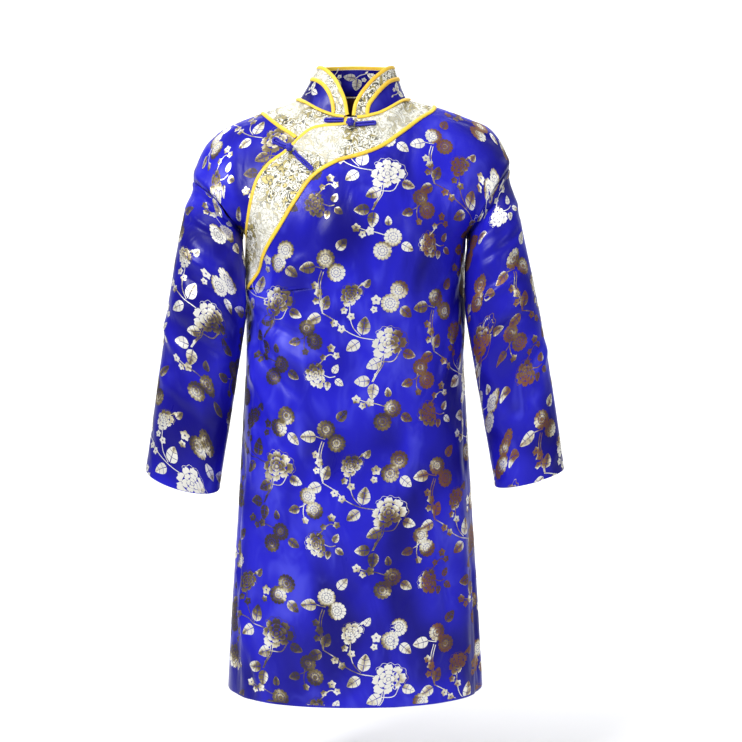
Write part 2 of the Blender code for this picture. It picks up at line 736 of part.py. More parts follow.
def front_pieces(rows):
    """The four stretches of the front: the lap, its brocade, the right front, and its brocade."""
    in_trim = rows.lap_trim - rows.edge > LAP_BAND_TIP
    tip = int(np.argmax(in_trim))
    at = slice(tip, None)
    shift = np.zeros(rows.level.shape)
    shift[at] = seam_shift(rows.level[at], rows.lap_trim[at])
    starts = np.where(in_trim, rows.lap_trim + shift, rows.edge)
    ends = np.full(rows.level.shape, QUARTER - SEAM_TURN)
    level = rows.level[:, None]
    turn = columns_between(starts, ends, rows.level, 19)
    lap = body_piece(turn, level, lift=lap_lift(turn, level, rows.edge[:, None]))

    neck = ((4, NECK_TURN),)
    turn = columns_between(rows.edge[at], (rows.lap_trim - shift)[at], rows.level[at], 6, neck)
    lap_band = body_piece(turn, level[at], lift=lap_lift(turn, level[at], rows.edge[at, None]))

    reach = rows.edge + UNDER_REACH
    shift = seam_shift(rows.level, rows.shoulder_trim)
    ends = np.minimum(rows.shoulder_trim - shift, reach)
    share = np.array([0, 0.17, 0.34, 0.51, 0.67, 0.84, 1.0])
    start = (rows.side + SEAM_TURN)[:, None]
    shown = start + (np.minimum(rows.edge, ends - 0.02)[:, None] - start) * share
    hidden = shown[:, -1:] + (ends[:, None] - shown[:, -1:]) * np.array([0.5, 1.0])
    turn = np.concatenate([shown, hidden], axis=1)
    right_front = body_piece(turn, level, lift=-under_drop(turn, level, rows.edge[:, None]))

    first = int(np.argmax(reach - rows.shoulder_trim > math.radians(1.5)))
    at = slice(first, None)
    start = (rows.shoulder_trim + shift)[at, None]
    neck_side = np.maximum(-NECK_TURN, start[:, 0] + 0.3 * (reach[at] - start[:, 0]))[:, None]
    middle = np.minimum(neck_side, mix(start, reach[at, None], 0.5))
    rest = middle + (reach[at, None] - middle) * np.array([0.25, 0.5, 0.75, 1.0])
    turn = np.concatenate([start, mix(start, middle, 0.5), middle, rest], axis=1)
    yoke_level = level[at].copy()
    yoke_level[0] += 0.004
    right_yoke = body_piece(turn, yoke_level, lift=-under_drop(turn, yoke_level, rows.edge[at, None]))
    return lap, lap_band, right_front, right_yoke, tip, first


def add_back(rows, columns_of_yoke=18):
    """The back in satin from the hem to its yoke, the yoke in brocade, and the edge between them."""
    inset = SEAM_TURN
    path_turn, path_level = front_at(evenly_through(BACK_TRIM, 60), back=True)
    tall = path_level < TOP_LEVEL - 0.012
    first, last = path_turn[tall][0], path_turn[tall][-1]
    yoke_turn = mix(first, last, np.linspace(0, 1, columns_of_yoke + 1))
    yoke_turn[np.abs(yoke_turn + NECK_TURN).argmin()] = -NECK_TURN
    yoke_turn[np.abs(yoke_turn - NECK_TURN).argmin()] = NECK_TURN
    right = mix(-QUARTER + inset, first - 0.006, np.linspace(0, 1, 5))
    left = mix(last + 0.006, QUARTER - inset, np.linspace(0, 1, 6))
    top_turn = np.concatenate([right, yoke_turn, left])
    in_yoke = slice(len(right), len(right) + len(yoke_turn))
    line = np.full(len(top_turn), TOP_LEVEL)
    line[in_yoke] = np.minimum(np.interp(yoke_turn, path_turn, path_level), TOP_LEVEL - 0.01)

    low = rows.level[rows.level < 1e-6]
    count = 10
    share = np.linspace(0, 1, count + 1)[1:]
    low_ends = np.full(low.shape, QUARTER - inset)
    low_starts = -math.pi - under_side_turn(low) + inset
    even = columns_between(low_starts, low_ends, low * 0.0, len(top_turn) - 1)
    upper = mix(even[-1], top_turn, smooth_step(share * 1.15)[:, None])
    gap = 0.8 * SEAM / 0.25 * np.sqrt(1.0 + (np.gradient(line[in_yoke], yoke_turn) * 0.25 / 0.22) ** 2)
    lowered = line.copy()
    lowered[in_yoke] -= gap
    turn = np.concatenate([even, upper])
    level = np.concatenate([np.repeat(low[:, None], len(top_turn), axis=1), share[:, None] * lowered])
    satin = body_piece(turn, level, back=True)
    add_wall("back", satin, WALL, "satin")

    raised = line[in_yoke] + gap
    share = np.linspace(0, 1, 4)[:, None]
    level = mix(raised, np.full(raised.shape, TOP_LEVEL), share)
    yoke = body_piece(np.repeat(yoke_turn[None], 4, axis=0), level, back=True)
    add_wall("back_yoke", yoke, WALL, "brocade")
    add_strip("back_yoke_piping", satin.points[-1, in_yoke], satin.outward[-1, in_yoke], gap=0.0022)


def armhole(around, side):
    """The edge of the body at a sleeve: over the front from the shoulder to the armpit, and back."""
    front_level = 1.0 - around / math.pi
    back_level = around / math.pi - 1.0
    front, _ = body_surface(np.full(around.shape, side * QUARTER), np.clip(front_level, 0, 1), False)
    rear, _ = body_surface(np.full(around.shape, side * QUARTER), np.clip(back_level, 0, 1), True)
    return np.where((around <= math.pi)[..., None], front, rear)


def sleeve_sections(run, around, side):
    """A point of a sleeve as a plain oval tube through its table of sections."""
    rows = RIGHT_SLEEVE if side < 0 else LEFT_SLEEVE
    table = through(np.arange(len(rows)), np.array(rows), run)
    outer, outer_height, inner, inner_height, middle, front, back = np.moveaxis(table, -1, 0)
    across = np.cos(around)
    depth = np.where(np.sin(around) >= 0, front, back) * np.sin(around)
    x = side * ((outer + inner) / 2 + (outer - inner) / 2 * across)
    z = (outer_height + inner_height) / 2 + (outer_height - inner_height) / 2 * across
    cuff = smooth_step((run - len(rows) + 3) / 2)
    droop = (0.014 if side < 0 else 0.003) * cuff * np.sin(around)
    return np.stack([x, middle - depth, z - droop], axis=-1)


def sleeve(run, around, side):
    """A point of a sleeve: it starts on the armhole and turns into the tube over three sections."""
    run, around = np.broadcast_arrays(np.asarray(run, float), np.asarray(around, float))
    away = armhole(around, side) - sleeve_sections(np.zeros(run.shape), around, side)
    return sleeve_sections(run, around, side) + away * (1.0 - smooth_step(run / 2.6))[..., None]


def body_side(side):
    """Points and normals on the body beside a sleeve, over its armpit and below its arm."""
    turn = np.radians(np.linspace(48, 90, 43)) * side
    found = []
    for back in (False, True):
        turns, levels = np.meshgrid(turn, np.linspace(-0.9, 0.22, 110))
        points, normals = body_surface(turns, levels, back)
        lift = LAP_LIFT if side < 0 else 0.0
        found.append((points + normals * lift, normals))
    return tuple(np.concatenate([part.reshape(-1, 3) for part in parts]) for parts in zip(*found))


def nearest_of(points, cloud):
    """For each point, which one of a cloud of points is the nearest."""
    found = np.empty(len(points), int)
    for start in range(0, len(points), 64):
        apart = points[start : start + 64, None] - cloud[None]
        found[start : start + 64] = (apart**2).sum(-1).argmin(axis=1)
    return found


def kept_clear(points, clearance, side):
    """The points, moved off the body's side where they are nearer to it than the clearance."""
    body, normals = body_side(side)
    flat, wanted = points.reshape(-1, 3), clearance.reshape(-1)
    nearest = nearest_of(flat, body)
    away = flat - body[nearest]
    height = (away * normals[nearest]).sum(-1)
    near = np.linalg.norm(away, axis=-1) < 0.035
    push = np.where(near & (height < wanted), wanted - height, 0.0)
    return (flat + normals[nearest] * push[:, None]).reshape(points.shape)


def sleeve_piece(run, around, side):
    """A sleeve's outer points with their creases, and the direction of its thickness."""
    base = sleeve(run, around, side)
    reading = np.clip(run, 2e-3, None)
    normal = normals_of(lambda a, b: sleeve(a, b, side), reading, around)
    normal = normal * (1.0 if side < 0 else -1.0)
    creases = RIGHT_SLEEVE_CREASES if side < 0 else LEFT_SLEEVE_CREASES
    across = 0.075 * np.where(around > math.pi, around - 2 * math.pi, around)
    rise = creased(across, base[..., 2], creases)
    inner_side = smooth_step((np.abs(across) - 0.15) / 0.06)
    hollow = 0.0105 * np.exp(-(((run - 0.42) / 0.38) ** 2)) * smooth_step(run / 0.3)
    hollow = hollow * (1.0 - 0.9 * inner_side) * (0.35 + 0.65 * np.abs(np.sin(around)))
    rise = rise * smooth_step((run - 0.5) / 1.2) * (1.0 - inner_side) - hollow
    points = base + normal * rise[..., None]
    inner_half = smooth_step((np.abs(across) - 0.11) / 0.03)
    clearance = np.where(inner_half > 0, SLEEVE_CLEARANCE * inner_half * smooth_step(run / 0.6), -1.0)
    points = kept_clear(points, clearance, side)
    seam = 1.0 - smooth_step(run / 0.8)
    outward = unit(mix(normal, armhole_normal(base, side), seam[..., None]))
    return Piece(points, outward)


def add_sleeve(name, side, around_count=20, rows=20):
    """A sleeve: a tube from just below the armhole to the cuff."""
    sections = len(RIGHT_SLEEVE if side < 0 else LEFT_SLEEVE)
    run = (sections - 1) * np.linspace(0.0, 1.0, rows + 1) ** 1.15
    around = np.linspace(0.0, 2 * math.pi, around_count + 1)[:-1]
    run, around = np.meshgrid(run, around, indexing="ij")
    piece = sleeve_piece(run, around, side)
    down = unit(sleeve_sections(run + 0.05, around, side) - sleeve_sections(run, around, side))
    beside = np.array([side * SLEEVE_START, 0.0, 0.0]) * (1.0 - smooth_step(run / 1.5))[..., None]
    piece = Piece(piece.points + down * 3 * SEAM + beside, piece.outward)
    add_wall(name, piece, WALL, "satin", closed_round=True)


def neck_top(around):
    """The neck seam all round: 0 at the front, 90 degrees on the left, 180 at the back."""
    front = neck_line(NECK_TURN * around / QUARTER, False)
    rear = neck_line(NECK_TURN * (np.sign(around) * math.pi - around) / QUARTER, True)
    return np.where((np.abs(around) <= QUARTER)[..., None], front, rear)


def collar_surface(around, rise):
    """A point of the collar, at a share of its height all round from the neck seam."""
    foot = neck_top(around) + np.array([0.0, 0.0, COLLAR_GAP])
    forward = np.cos(around)
    depth = np.where(forward > 0, -COLLAR_TOP_FRONT, -COLLAR_TOP_BACK) * forward
    height = COLLAR_SIDE + np.where(forward > 0, COLLAR_FRONT_DROP, COLLAR_BACK_RISE) * forward**2
    top = np.stack([COLLAR_X + COLLAR_TOP_HALF_WIDTH * np.sin(around), depth, height], axis=-1)
    share = rise[..., None]
    flare = 0.006 * share * (1.0 - share)
    out = np.stack([np.sin(around), -forward, 0.0 * around], axis=-1)
    return mix(foot, top, share) - out * flare


def collar_piece(around, rise):
    around, rise = np.broadcast_arrays(around, rise)
    out = normals_of(collar_surface, around, np.clip(rise, 0.0, None))
    return Piece(collar_surface(around, rise), out)


def collar_at(positions):
    """Around and rise of the points of the collar's front that show at (x, z) from the front."""
    positions = np.asarray(positions, float)
    around, rise = np.zeros(len(positions)), np.full(len(positions), 0.5)
    for _ in range(60):
        half = mix(NECK_HALF_WIDTH, COLLAR_TOP_HALF_WIDTH, rise)
        middle = mix(NECK_X, COLLAR_X, rise)
        aim = np.arcsin(np.clip((positions[:, 0] - middle) / half, -1.0, 1.0))
        around = mix(around, aim, 0.6)
        low = collar_surface(around, np.zeros(len(positions)))[:, 2]
        high = collar_surface(around, np.ones(len(positions)))[:, 2]
        rise = mix(rise, (positions[:, 1] - low) / (high - low), 0.6)
    return around, rise


def collar_line(right, left, drop, count):
    """A line round the collar: up the right front, round the back below the top, down the left."""
    right_around, right_rise = collar_at(right)
    left_around, left_rise = collar_at(left)
    behind = np.radians([-105, -130, -155, 180, 155, 130, 105])
    behind = np.where(behind < 0, behind, behind - 2 * math.pi)
    around = np.concatenate([right_around, behind, left_around[::-1] - 2 * math.pi])
    rise = np.concatenate([right_rise, np.full(7, 1.0 - drop), left_rise[::-1]])
    metres = np.stack([around * 0.09, rise * 0.085], axis=-1)
    metres = evenly_through(metres, count)
    return metres[:, 0] / 0.09, metres[:, 1] / 0.085


def wrapped(around):
    return (around + math.pi) % (2 * math.pi) - math.pi


def add_collar(stations=44):
    """The stand collar: a satin band below a brocade one, with a yellow edge on each of its sides."""
    edge_around, edge_rise = collar_line(COLLAR_EDGE_RIGHT, COLLAR_EDGE_LEFT, 0.0, stations)
    band_around, band_rise = collar_line(COLLAR_BAND_RIGHT, COLLAR_BAND_LEFT, COLLAR_BAND_DROP, stations)
    share = np.linspace(0, 1, 3)[:, None]
    seam = SEAM / 2 / COLLAR_HEIGHT
    low_rise = np.maximum(band_rise, 0.0)
    around = mix(band_around, edge_around, share)
    rise = mix(low_rise + seam, np.maximum(edge_rise, 0.0), share)
    band = collar_piece(wrapped(around), rise)
    add_wall("collar_band", band, COLLAR_WALL, "brocade")
    add_binding("collar_edge", band.points[-1], band.outward[-1], COLLAR_WALL, 1.0)

    tall = band_rise > 0.06
    first, last = int(np.argmax(tall)), stations - int(np.argmax(tall[::-1]))
    chosen = slice(first, last)
    share = np.linspace(0, 1, 4)[:, None]
    top = band_rise[chosen] - seam
    satin = collar_piece(wrapped(np.repeat(band_around[None, chosen], 4, axis=0)), top * share)
    add_wall("collar", satin, COLLAR_WALL, "satin")
    add_strip("collar_band_piping", band.points[0], band.outward[0])


def strip_profile(width, height):
    """A trim's section, as pairs of across and up: flat below, and domed above."""
    half = width / 2
    return ((-half, 0.0), (half, 0.0), (0.8 * half, 0.7 * height), (0.0, height), (-0.8 * half, 0.7 * height))


def swept(path, outward, profile):
    """Points and faces of a profile swept along a path over cloth, closed at its ends."""
    along = unit(np.gradient(path, axis=0))
    beside = unit(np.cross(along, outward))
    up = unit(np.cross(beside, along))
    rings = np.stack([path + beside * across + up * rise for across, rise in profile], axis=1)
    count, sides = rings.shape[:2]
    index = np.arange(count * sides).reshape(count, sides)
    index = np.concatenate([index, index[:, :1]], axis=1)
    quads = np.stack([index[:-1, :-1], index[:-1, 1:], index[1:, 1:], index[1:, :-1]], axis=-1)
    faces = quads.reshape(-1, 4).tolist()
    faces += [index[0, :-1][::-1].tolist(), index[-1, :-1].tolist()]
    return rings.reshape(-1, 3), faces


def link(name, points, faces, finish):
    """A closed mesh as an object with its faces turned outwards."""
    mesh = bpy.data.meshes.new(name)
    mesh.from_pydata(points.tolist(), [], faces)
    mesh.materials.append(material(finish))
    mesh.calc_loop_triangles()
    corners = np.empty(len(mesh.loop_triangles) * 3, np.int32)
    mesh.loop_triangles.foreach_get("vertices", corners)
    a, b, c = np.moveaxis(points[corners.reshape(-1, 3)], 1, 0)
    if np.einsum("ij,ij->", a, np.cross(b, c)) < 0:
        mesh.flip_normals()
    mesh.shade_smooth()
    mesh.set_sharp_from_angle(angle=math.radians(50))
    made = bpy.data.objects.new(name, mesh)
    bpy.context.scene.collection.objects.link(made)


def add_strip(name, path, outward, width=PIPE_WIDTH, height=PIPE_HEIGHT, gap=LYING, finish="yellow_trim"):
    """A trim that lies on the cloth along a path."""
    points, faces = swept(path + outward * gap, outward, strip_profile(width, height))
    link(name, points, faces, finish)


def add_binding(name, edge, outward, thickness, hand):
    """A rounded edge beside the edge of a wall, on one hand of the way that the edge runs."""
    over = 0.0006
    near, far = SEAM, SEAM + EDGE_WIDTH
    profile = (
        (hand * near, -0.75 * thickness),
        (hand * mix(near, far, 0.8), -0.75 * thickness),
        (hand * far, -0.4 * thickness),
        (hand * mix(near, far, 0.85), 0.3 * over),
        (hand * mix(near, far, 0.45), over),
        (hand * near, 0.5 * over),
    )
    points, faces = swept(edge, outward, profile)
    link(name, points, faces, "yellow_trim")


def add_neck_piping(count=42):
    """The yellow edge along the neck seam, laid on the cloth from the closing round to the closing."""
    clouds = []
    turns, levels = np.meshgrid(np.radians(np.linspace(-46, 46, 93)), np.linspace(0.80, TOP_LEVEL, 60))
    for back in (False, True):
        points, normals = body_surface(turns, levels, back)
        on_lap = (turns > CLOSING_TURN) & (not back)
        lift = np.where(on_lap, lap_lift(turns, levels, CLOSING_TURN), 0.0)
        clouds.append((points + normals * lift[..., None], normals))
    cloud, normals = (np.concatenate([part.reshape(-1, 3) for part in parts]) for parts in zip(*clouds))
    around = wrapped(np.linspace(math.radians(4), math.radians(334), count))
    outwards = np.stack([np.sin(around), -np.cos(around), 0.0 * around], axis=-1)
    path = neck_top(around) + outwards * (PIPE_WIDTH / 2 + 0.0024)
    for _ in range(3):
        found = nearest_of(path, cloud)
        normal = normals[found]
        path = path - normal * ((path - cloud[found]) * normal).sum(-1, keepdims=True)
    add_strip("neck_piping", path, normal, gap=0.0026)


def on_front(positions, lift):
    """Points and normals on the front at (x, z), moved out by a lift."""
    turn, level = front_at(positions)
    points, normals = body_surface(turn, level, False)
    return points + normals * lift, normals


def add_knot_button(name, knot, bars, gaps):
    """A knot of cord at a closing, and the two bars of doubled cord that lie away from it."""
    radius = CORD_RADIUS * 1e3
    lobe = ((2.1, 0.9), (1.65, 0.1), (0.55, 0.1), (0.0, 0.5), (-0.55, 0.1), (-1.65, 0.1), (-2.1, 0.9))
    crown = ((-1.6, 1.9), (-0.7, 1.9), (0.0, 1.35), (0.7, 1.9), (1.6, 1.9))
    profile = [(across * radius / 1e3, rise * radius / 1e3) for across, rise in lobe + crown]
    for part, lift, ends in zip(("right", "left"), (gaps[0], LAP_LIFT + gaps[1]), bars):
        path, normals = on_front(evenly_through(ends, 7), lift)
        points, faces = swept(path, normals, profile)
        link(f"{name}_{part}_bar", points, faces, "cord")
    centre, normal = on_front([knot, knot], LAP_LIFT)
    centre = centre[0] + normal[0] * (gaps[2] + 0.93 * KNOT_RADIUS)
    around = np.linspace(0, 2 * math.pi, 11)[:-1]
    tilt = np.linspace(0, math.pi, 7)[1:-1, None]
    ball = np.stack(
        [
            np.sin(tilt) * np.cos(around) * KNOT_RADIUS,
            np.sin(tilt) * np.sin(around) * KNOT_RADIUS * 0.85,
            np.cos(tilt) * np.ones(10) * KNOT_RADIUS * 1.1,
        ],
        axis=-1,
    )
    index = np.arange(50).reshape(5, 10)
    index = np.concatenate([index, index[:, :1]], axis=1)
    quads = np.stack([index[:-1, :-1], index[:-1, 1:], index[1:, 1:], index[1:, :-1]], axis=-1)
    caps = [index[0, :-1][::-1].tolist(), index[-1, :-1].tolist()]
    link(f"{name}_knot", ball.reshape(-1, 3) + centre, quads.reshape(-1, 4).tolist() + caps, "cord")


def add_fronts(rows):
    """Both fronts and the brocade on them, the yellow lines of their seams, and the lap's edge."""
    lap, lap_band, right_front, right_yoke, tip, first = front_pieces(rows)
    add_wall("lap_front", lap, WALL, "satin")
    add_wall("lap_band", lap_band, WALL, "brocade")
    add_wall("right_front", right_front, WALL, "satin")
    add_wall("right_yoke", right_yoke, WALL, "brocade")
    add_strip("lap_band_piping", lap_band.points[:, -1], lap_band.outward[:, -1], gap=0.0011)
    edge_points = np.concatenate([lap.points[:tip, 0], lap_band.points[:, 0]])
    edge_outward = np.concatenate([lap.outward[:tip, 0], lap_band.outward[:, 0]])
    add_binding("lap_edge", edge_points, edge_outward, WALL, -1.0)
    shown = rows.shoulder_trim[first:] < rows.edge[first:] - math.radians(3.4)
    add_strip("right_yoke_piping", right_yoke.points[shown, 0], right_yoke.outward[shown, 0])


def clear_scene():
    for found in list(bpy.data.objects):
        bpy.data.objects.remove(found, do_unlink=True)


def main():
    clear_scene()
    rows = front_rows()
    add_fronts(rows)
    add_back(rows)
    add_sleeve("right_sleeve", -1.0)
    add_sleeve("left_sleeve", 1.0)
    add_collar()
    add_neck_piping()
    add_knot_button("neck_button", NECK_KNOT, NECK_BARS, NECK_GAPS)
    add_knot_button("chest_button", CHEST_KNOT, CHEST_BARS, CHEST_GAPS)


main()
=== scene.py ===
"""Looks of a padded burial robe that nobody wears: satin, foil flowers, brocade, yellow edges, cord knots.

Metres, +Z up, the front towards -Y and the wearer's left towards +X, as in the CAD model.
"""

import logging
import math
from dataclasses import dataclass, field
from enum import Enum
from typing import Callable, NamedTuple, Sequence

import bpy
import numpy as np
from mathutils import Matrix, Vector


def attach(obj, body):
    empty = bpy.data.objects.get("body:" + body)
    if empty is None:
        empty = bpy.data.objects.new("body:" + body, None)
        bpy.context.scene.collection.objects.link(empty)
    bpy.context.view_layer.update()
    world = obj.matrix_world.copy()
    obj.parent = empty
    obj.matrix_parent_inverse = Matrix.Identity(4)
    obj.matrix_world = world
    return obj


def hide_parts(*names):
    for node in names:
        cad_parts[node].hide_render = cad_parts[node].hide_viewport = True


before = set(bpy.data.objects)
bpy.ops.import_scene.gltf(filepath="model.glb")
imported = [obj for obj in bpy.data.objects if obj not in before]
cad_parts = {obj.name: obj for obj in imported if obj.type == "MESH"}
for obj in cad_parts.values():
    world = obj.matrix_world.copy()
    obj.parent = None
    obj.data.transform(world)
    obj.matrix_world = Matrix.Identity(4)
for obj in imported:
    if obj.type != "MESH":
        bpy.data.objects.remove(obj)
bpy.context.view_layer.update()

LOG = logging.getLogger("robe")
Array = np.ndarray
QUARTER = math.pi / 2
# An edge between faces that differ by more than this shows as an edge.
SHARP_ANGLE = math.radians(50)
# Metres of cloth for each radian round the body and round a sleeve, by which creases are placed, and
# for each radian of the body beside a sleeve seam.
BODY_REACH, SLEEVE_REACH, SEAM_REACH = 0.22, 0.075, 0.20
# Metres of cloth for each whole level of the back beside its yoke.
BACK_REACH = 0.25


class Finish(Enum):
    """The record's material slots."""

    SATIN = "satin"
    BROCADE = "brocade"
    YELLOW = "yellow_trim"
    CORD = "cord"


class Side(Enum):
    """A side of the wearer, as the sign of its X."""

    RIGHT = -1.0
    LEFT = 1.0


# Numbers on arrays.


def smooth_step(share: Array | float) -> Array:
    """0 up to 0, 1 from 1 on, and the cubic 3s^2 - 2s^3 between them."""
    share = np.clip(share, 0.0, 1.0)
    return share * share * (3.0 - 2.0 * share)


def hermite(start: Array, end: Array, leaving: Array, arriving: Array, share: Array) -> Array:
    """The cubic from start to end whose directions at its ends are leaving and arriving."""
    square, cube = share**2, share**3
    return (
        start * (2 * cube - 3 * square + 1)
        + end * (3 * square - 2 * cube)
        + leaving * (cube - 2 * square + share)
        + arriving * (cube - square)
    )


def through(knots: Sequence[float], values: Array, at: Array) -> Array:
    """The smooth curve through values at knots.

    Args:
        knots: Rising numbers.
        values: A value or a row of values at each knot.
        at: Where the curve is read.

    Returns:
        The values there, by cubics whose slopes are the differences at the knots.
    """
    knots, values = np.asarray(knots, float), np.asarray(values, float)
    slopes = np.gradient(values, knots, axis=0)
    at = np.clip(np.asarray(at, float), knots[0], knots[-1])
    cell = np.clip(np.searchsorted(knots, at, side="right") - 1, 0, len(knots) - 2)
    width = knots[cell + 1] - knots[cell]
    share = (at - knots[cell]) / width
    if values.ndim > 1:
        width, share = width[..., None], share[..., None]
    return hermite(values[cell], values[cell + 1], slopes[cell] * width, slopes[cell + 1] * width, share)


def evenly_through(points: Sequence, count: int) -> Array:
    """That many points, an even distance apart along the smooth curve through the points."""
    points = np.asarray(points, float)
    knots = run_of(steps_of(points))
    dense = through(knots, points, np.linspace(0.0, knots[-1], 12 * count))
    run = run_of(steps_of(dense))
    even = np.linspace(0.0, run[-1], count)
    return np.stack([np.interp(even, run, dense[:, axis]) for axis in range(dense.shape[1])], axis=-1)


def unit(vectors: Array) -> Array:
    """The vectors at length 1."""
    return vectors / np.maximum(np.linalg.norm(vectors, axis=-1, keepdims=True), 1e-12)


def mix(first: Array | float, second: Array | float, share: Array | float) -> Array:
    """First where share is 0, second where it is 1."""
    return first + (second - first) * share


def normals_of(surface: Callable, first: Array, second: Array) -> Array:
    """Unit normals of a surface of two numbers: the cross product of its two differences."""
    step = 1e-3
    along = surface(first + step, second) - surface(first - step, second)
    up = surface(first, second + step) - surface(first, second - step)
    return unit(np.cross(along, up))


def near_top(level: Array) -> Array:
    """0 on most of a panel, 1 at its top edge."""
    return smooth_step((level - 0.72) / 0.28)


def wrapped(around: Array) -> Array:
    """Angles brought between minus and plus half a turn."""
    return (around + math.pi) % (2 * math.pi) - math.pi


def together(first: Array | float, second: Array | float) -> tuple[Array, Array]:
    """Both as arrays of numbers of the same shape."""
    return np.broadcast_arrays(np.asarray(first, float), np.asarray(second, float))


def steps_of(points: Array) -> Array:
    """The distance from each point to the next one."""
    return np.linalg.norm(np.diff(points, axis=0), axis=-1)


def run_of(steps: Array) -> Array:
    """The way run before each step and after the last."""
    return np.concatenate([[0.0], np.cumsum(steps)])


def nearest_in(cloud: Array, points: Array) -> Array:
    """The index of the cloud's nearest point to each point."""
    return np.array([((point - cloud) ** 2).sum(-1).argmin() for point in points])


def in_one(parts: Sequence) -> tuple[Array, ...]:
    """Lists of points and their normals, one after the other."""
    return tuple(np.concatenate([part.reshape(-1, 3) for part in group]) for group in zip(*parts))


def millimetres(kind: Callable, rows: Sequence) -> tuple:
    """A table's rows of millimetres, as rows of that kind in metres."""
    return tuple(kind(*(number / 1000 for number in row)) for row in rows)


# Tables of the cut.


class BodySection(NamedTuple):
    """A level section of the body: its half width, and its depths to the front and the back."""

    height: float
    half_width: float
    front: float
    back: float


BODY = millimetres(BodySection, (
    (-1184, 259, 165, 172), (-1000, 248, 164, 169), (-800, 234, 163, 166), (-640, 224.3, 162, 160),
    (-500, 216.5, 159, 150), (-400, 216.5, 162, 148), (-330, 218, 169, 154), (-273, 220.5, 172, 160),
    (-220, 224, 170, 164),
))


class RidgePoint(NamedTuple):
    """A point of the shoulder line, from the neck out to where the sleeve is sewn on."""

    out: float
    height: float
    depth: float


RIDGES = {
    Side.RIGHT: millimetres(RidgePoint, (
        (110, 0, 0), (175, -23.5, 0), (230, -44, 0), (270, -64, -1), (296, -89, -3), (315, -128, -6),
        (323, -162, -8),
    )),
    Side.LEFT: millimetres(RidgePoint, (
        (100, 0, 0), (170, -18, 0), (227.7, -38.9, 0), (265.7, -56, -1), (285, -78, -3), (298.5, -107, -6),
        (305.5, -136, -8),
    )),
}


class SleeveSection(NamedTuple):
    """A section through a sleeve: its outer and inner points, then its middle and half depths."""

    outer: float
    outer_height: float
    inner: float
    inner_height: float
    middle: float
    front: float
    back: float


SLEEVES = {
    Side.RIGHT: millimetres(SleeveSection, (
        (323, -162, 220.5, -273, -6, 80, 80), (336, -213, 220, -290, -30, 74, 78),
        (350.5, -292, 215, -334, -52, 70, 72), (367.5, -392, 214, -409, -56, 67, 68),
        (380.5, -471, 226.5, -488, -45, 65, 66), (398, -591, 247.5, -618, -43, 62, 62),
        (416.5, -711, 269.5, -748, -40, 58, 58), (420, -732.5, 273, -773, -40, 57, 57),
    )),
    Side.LEFT: millimetres(SleeveSection, (
        (305.5, -136, 220.5, -273, -6, 80, 80), (317, -196, 220, -290, -24, 72, 78),
        (333, -278, 215, -334, -46, 70, 72), (357, -392, 215, -409, -56, 67, 68),
        (373.5, -471.5, 227.5, -485, -45, 65, 66), (395, -592, 251, -615, -43, 62, 62),
        (414, -713, 274.5, -744, -40, 58, 58), (416.5, -733, 278.5, -769, -40, 57, 57),
    )),
}


class Spot(NamedTuple):
    """A place in the front view."""

    x: float
    z: float


class Crease(NamedTuple):
    """A soft ridge or trough from one point to another.

    Across is the way round the cloth from the middle of the piece, and height is the height in
    the robe. Rise is its height from the cloth, below 0 for a trough.
    """

    across: float
    height: float
    to_across: float
    to_height: float
    half_width: float
    rise: float


FRONT_CREASES = millimetres(Crease, (
    (-300, -350, -190, -440, 26, 6), (-290, -290, -160, -390, 25, -5.5),
    (-310, -400, -220, -490, 26, -5.5), (-300, -470, -230, -560, 26, 4.5), (335, -300, 230, -450, 22, -5),
    (340, -370, 270, -530, 22, 4.5), (-275, -700, -215, -1230, 26, 8), (-300, -640, -262, -1230, 20, -8),
    (290, -820, 262, -1230, 22, -6), (245, -740, 225, -1230, 26, 5), (52, -860, 62, -1230, 16, 2.2),
))
FINE_FRONT_CREASES = millimetres(Crease, (
    (-265, -425, -90, -300, 13, 6), (-270, -448, -110, -362, 10, -6), (-260, -405, -35, -505, 12, -6.2),
    (-262, -440, -60, -536, 14, 5.8), (-275, -470, -100, -592, 12, -5.5), (-280, -520, -150, -640, 14, 5),
    (-230, -468, -165, -520, 6, -3), (-215, -400, -150, -372, 6, 3), (-48, -203, -118, -325, 16, -3.6),
    (264, -300, 140, -455, 12, -4.5), (290, -370, 165, -590, 13, 4.5), (-290, -600, -40, -725, 18, -4),
    (-287, -900, -228, -1060, 10, 6), (-236, -1040, -176, -1165, 10, 5.5),
    (-130, -420, -20, -520, 20, 2.7), (60, -200, 160, -330, 28, 3.3), (140, -160, 230, -260, 18, -3),
    (200, -320, 120, -460, 20, -2.7), (280, -430, 230, -600, 12, 3.6), (300, -560, 270, -760, 14, -3.9),
    (-250, -600, -230, -780, 12, 3.6), (-290, -780, -262, -1100, 8, 5.4),
    (-265, -860, -243, -1200, 7, -4.5), (-235, -900, -200, -1210, 10, -3.9),
    (-165, -940, -150, -1210, 16, 2.7), (-110, -780, -40, -900, 12, 1.8), (-60, -870, 10, -985, 14, -1.8),
    (60.2, -880, 66, -1215, 3, 2.4), (100, -700, 180, -820, 18, -2.1), (180, -880, 170, -1210, 18, -3.6),
    (268, -900, 250, -1220, 9, 4.5), (300, -900, 290, -1200, 8, -4.5), (-20, -250, 40, -420, 30, -2.4),
    (10, -540, 90, -660, 26, 2.1), (-150, -620, -90, -740, 20, -2.1),
))
BACK_CREASES = millimetres(Crease, (
    (330, -300, 190, -430, 20, 6), (-330, -300, -200, -450, 20, 6), (180, -340, 235, -1230, 24, -8.5),
    (105, -300, 135, -1230, 26, 7.5), (30, -330, 45, -1230, 24, -8), (-45, -300, -55, -1230, 26, 8),
    (-120, -350, -150, -1230, 24, -8.5), (-195, -320, -245, -1230, 26, 7),
    (250, -500, 290, -1230, 24, 6.5),
))
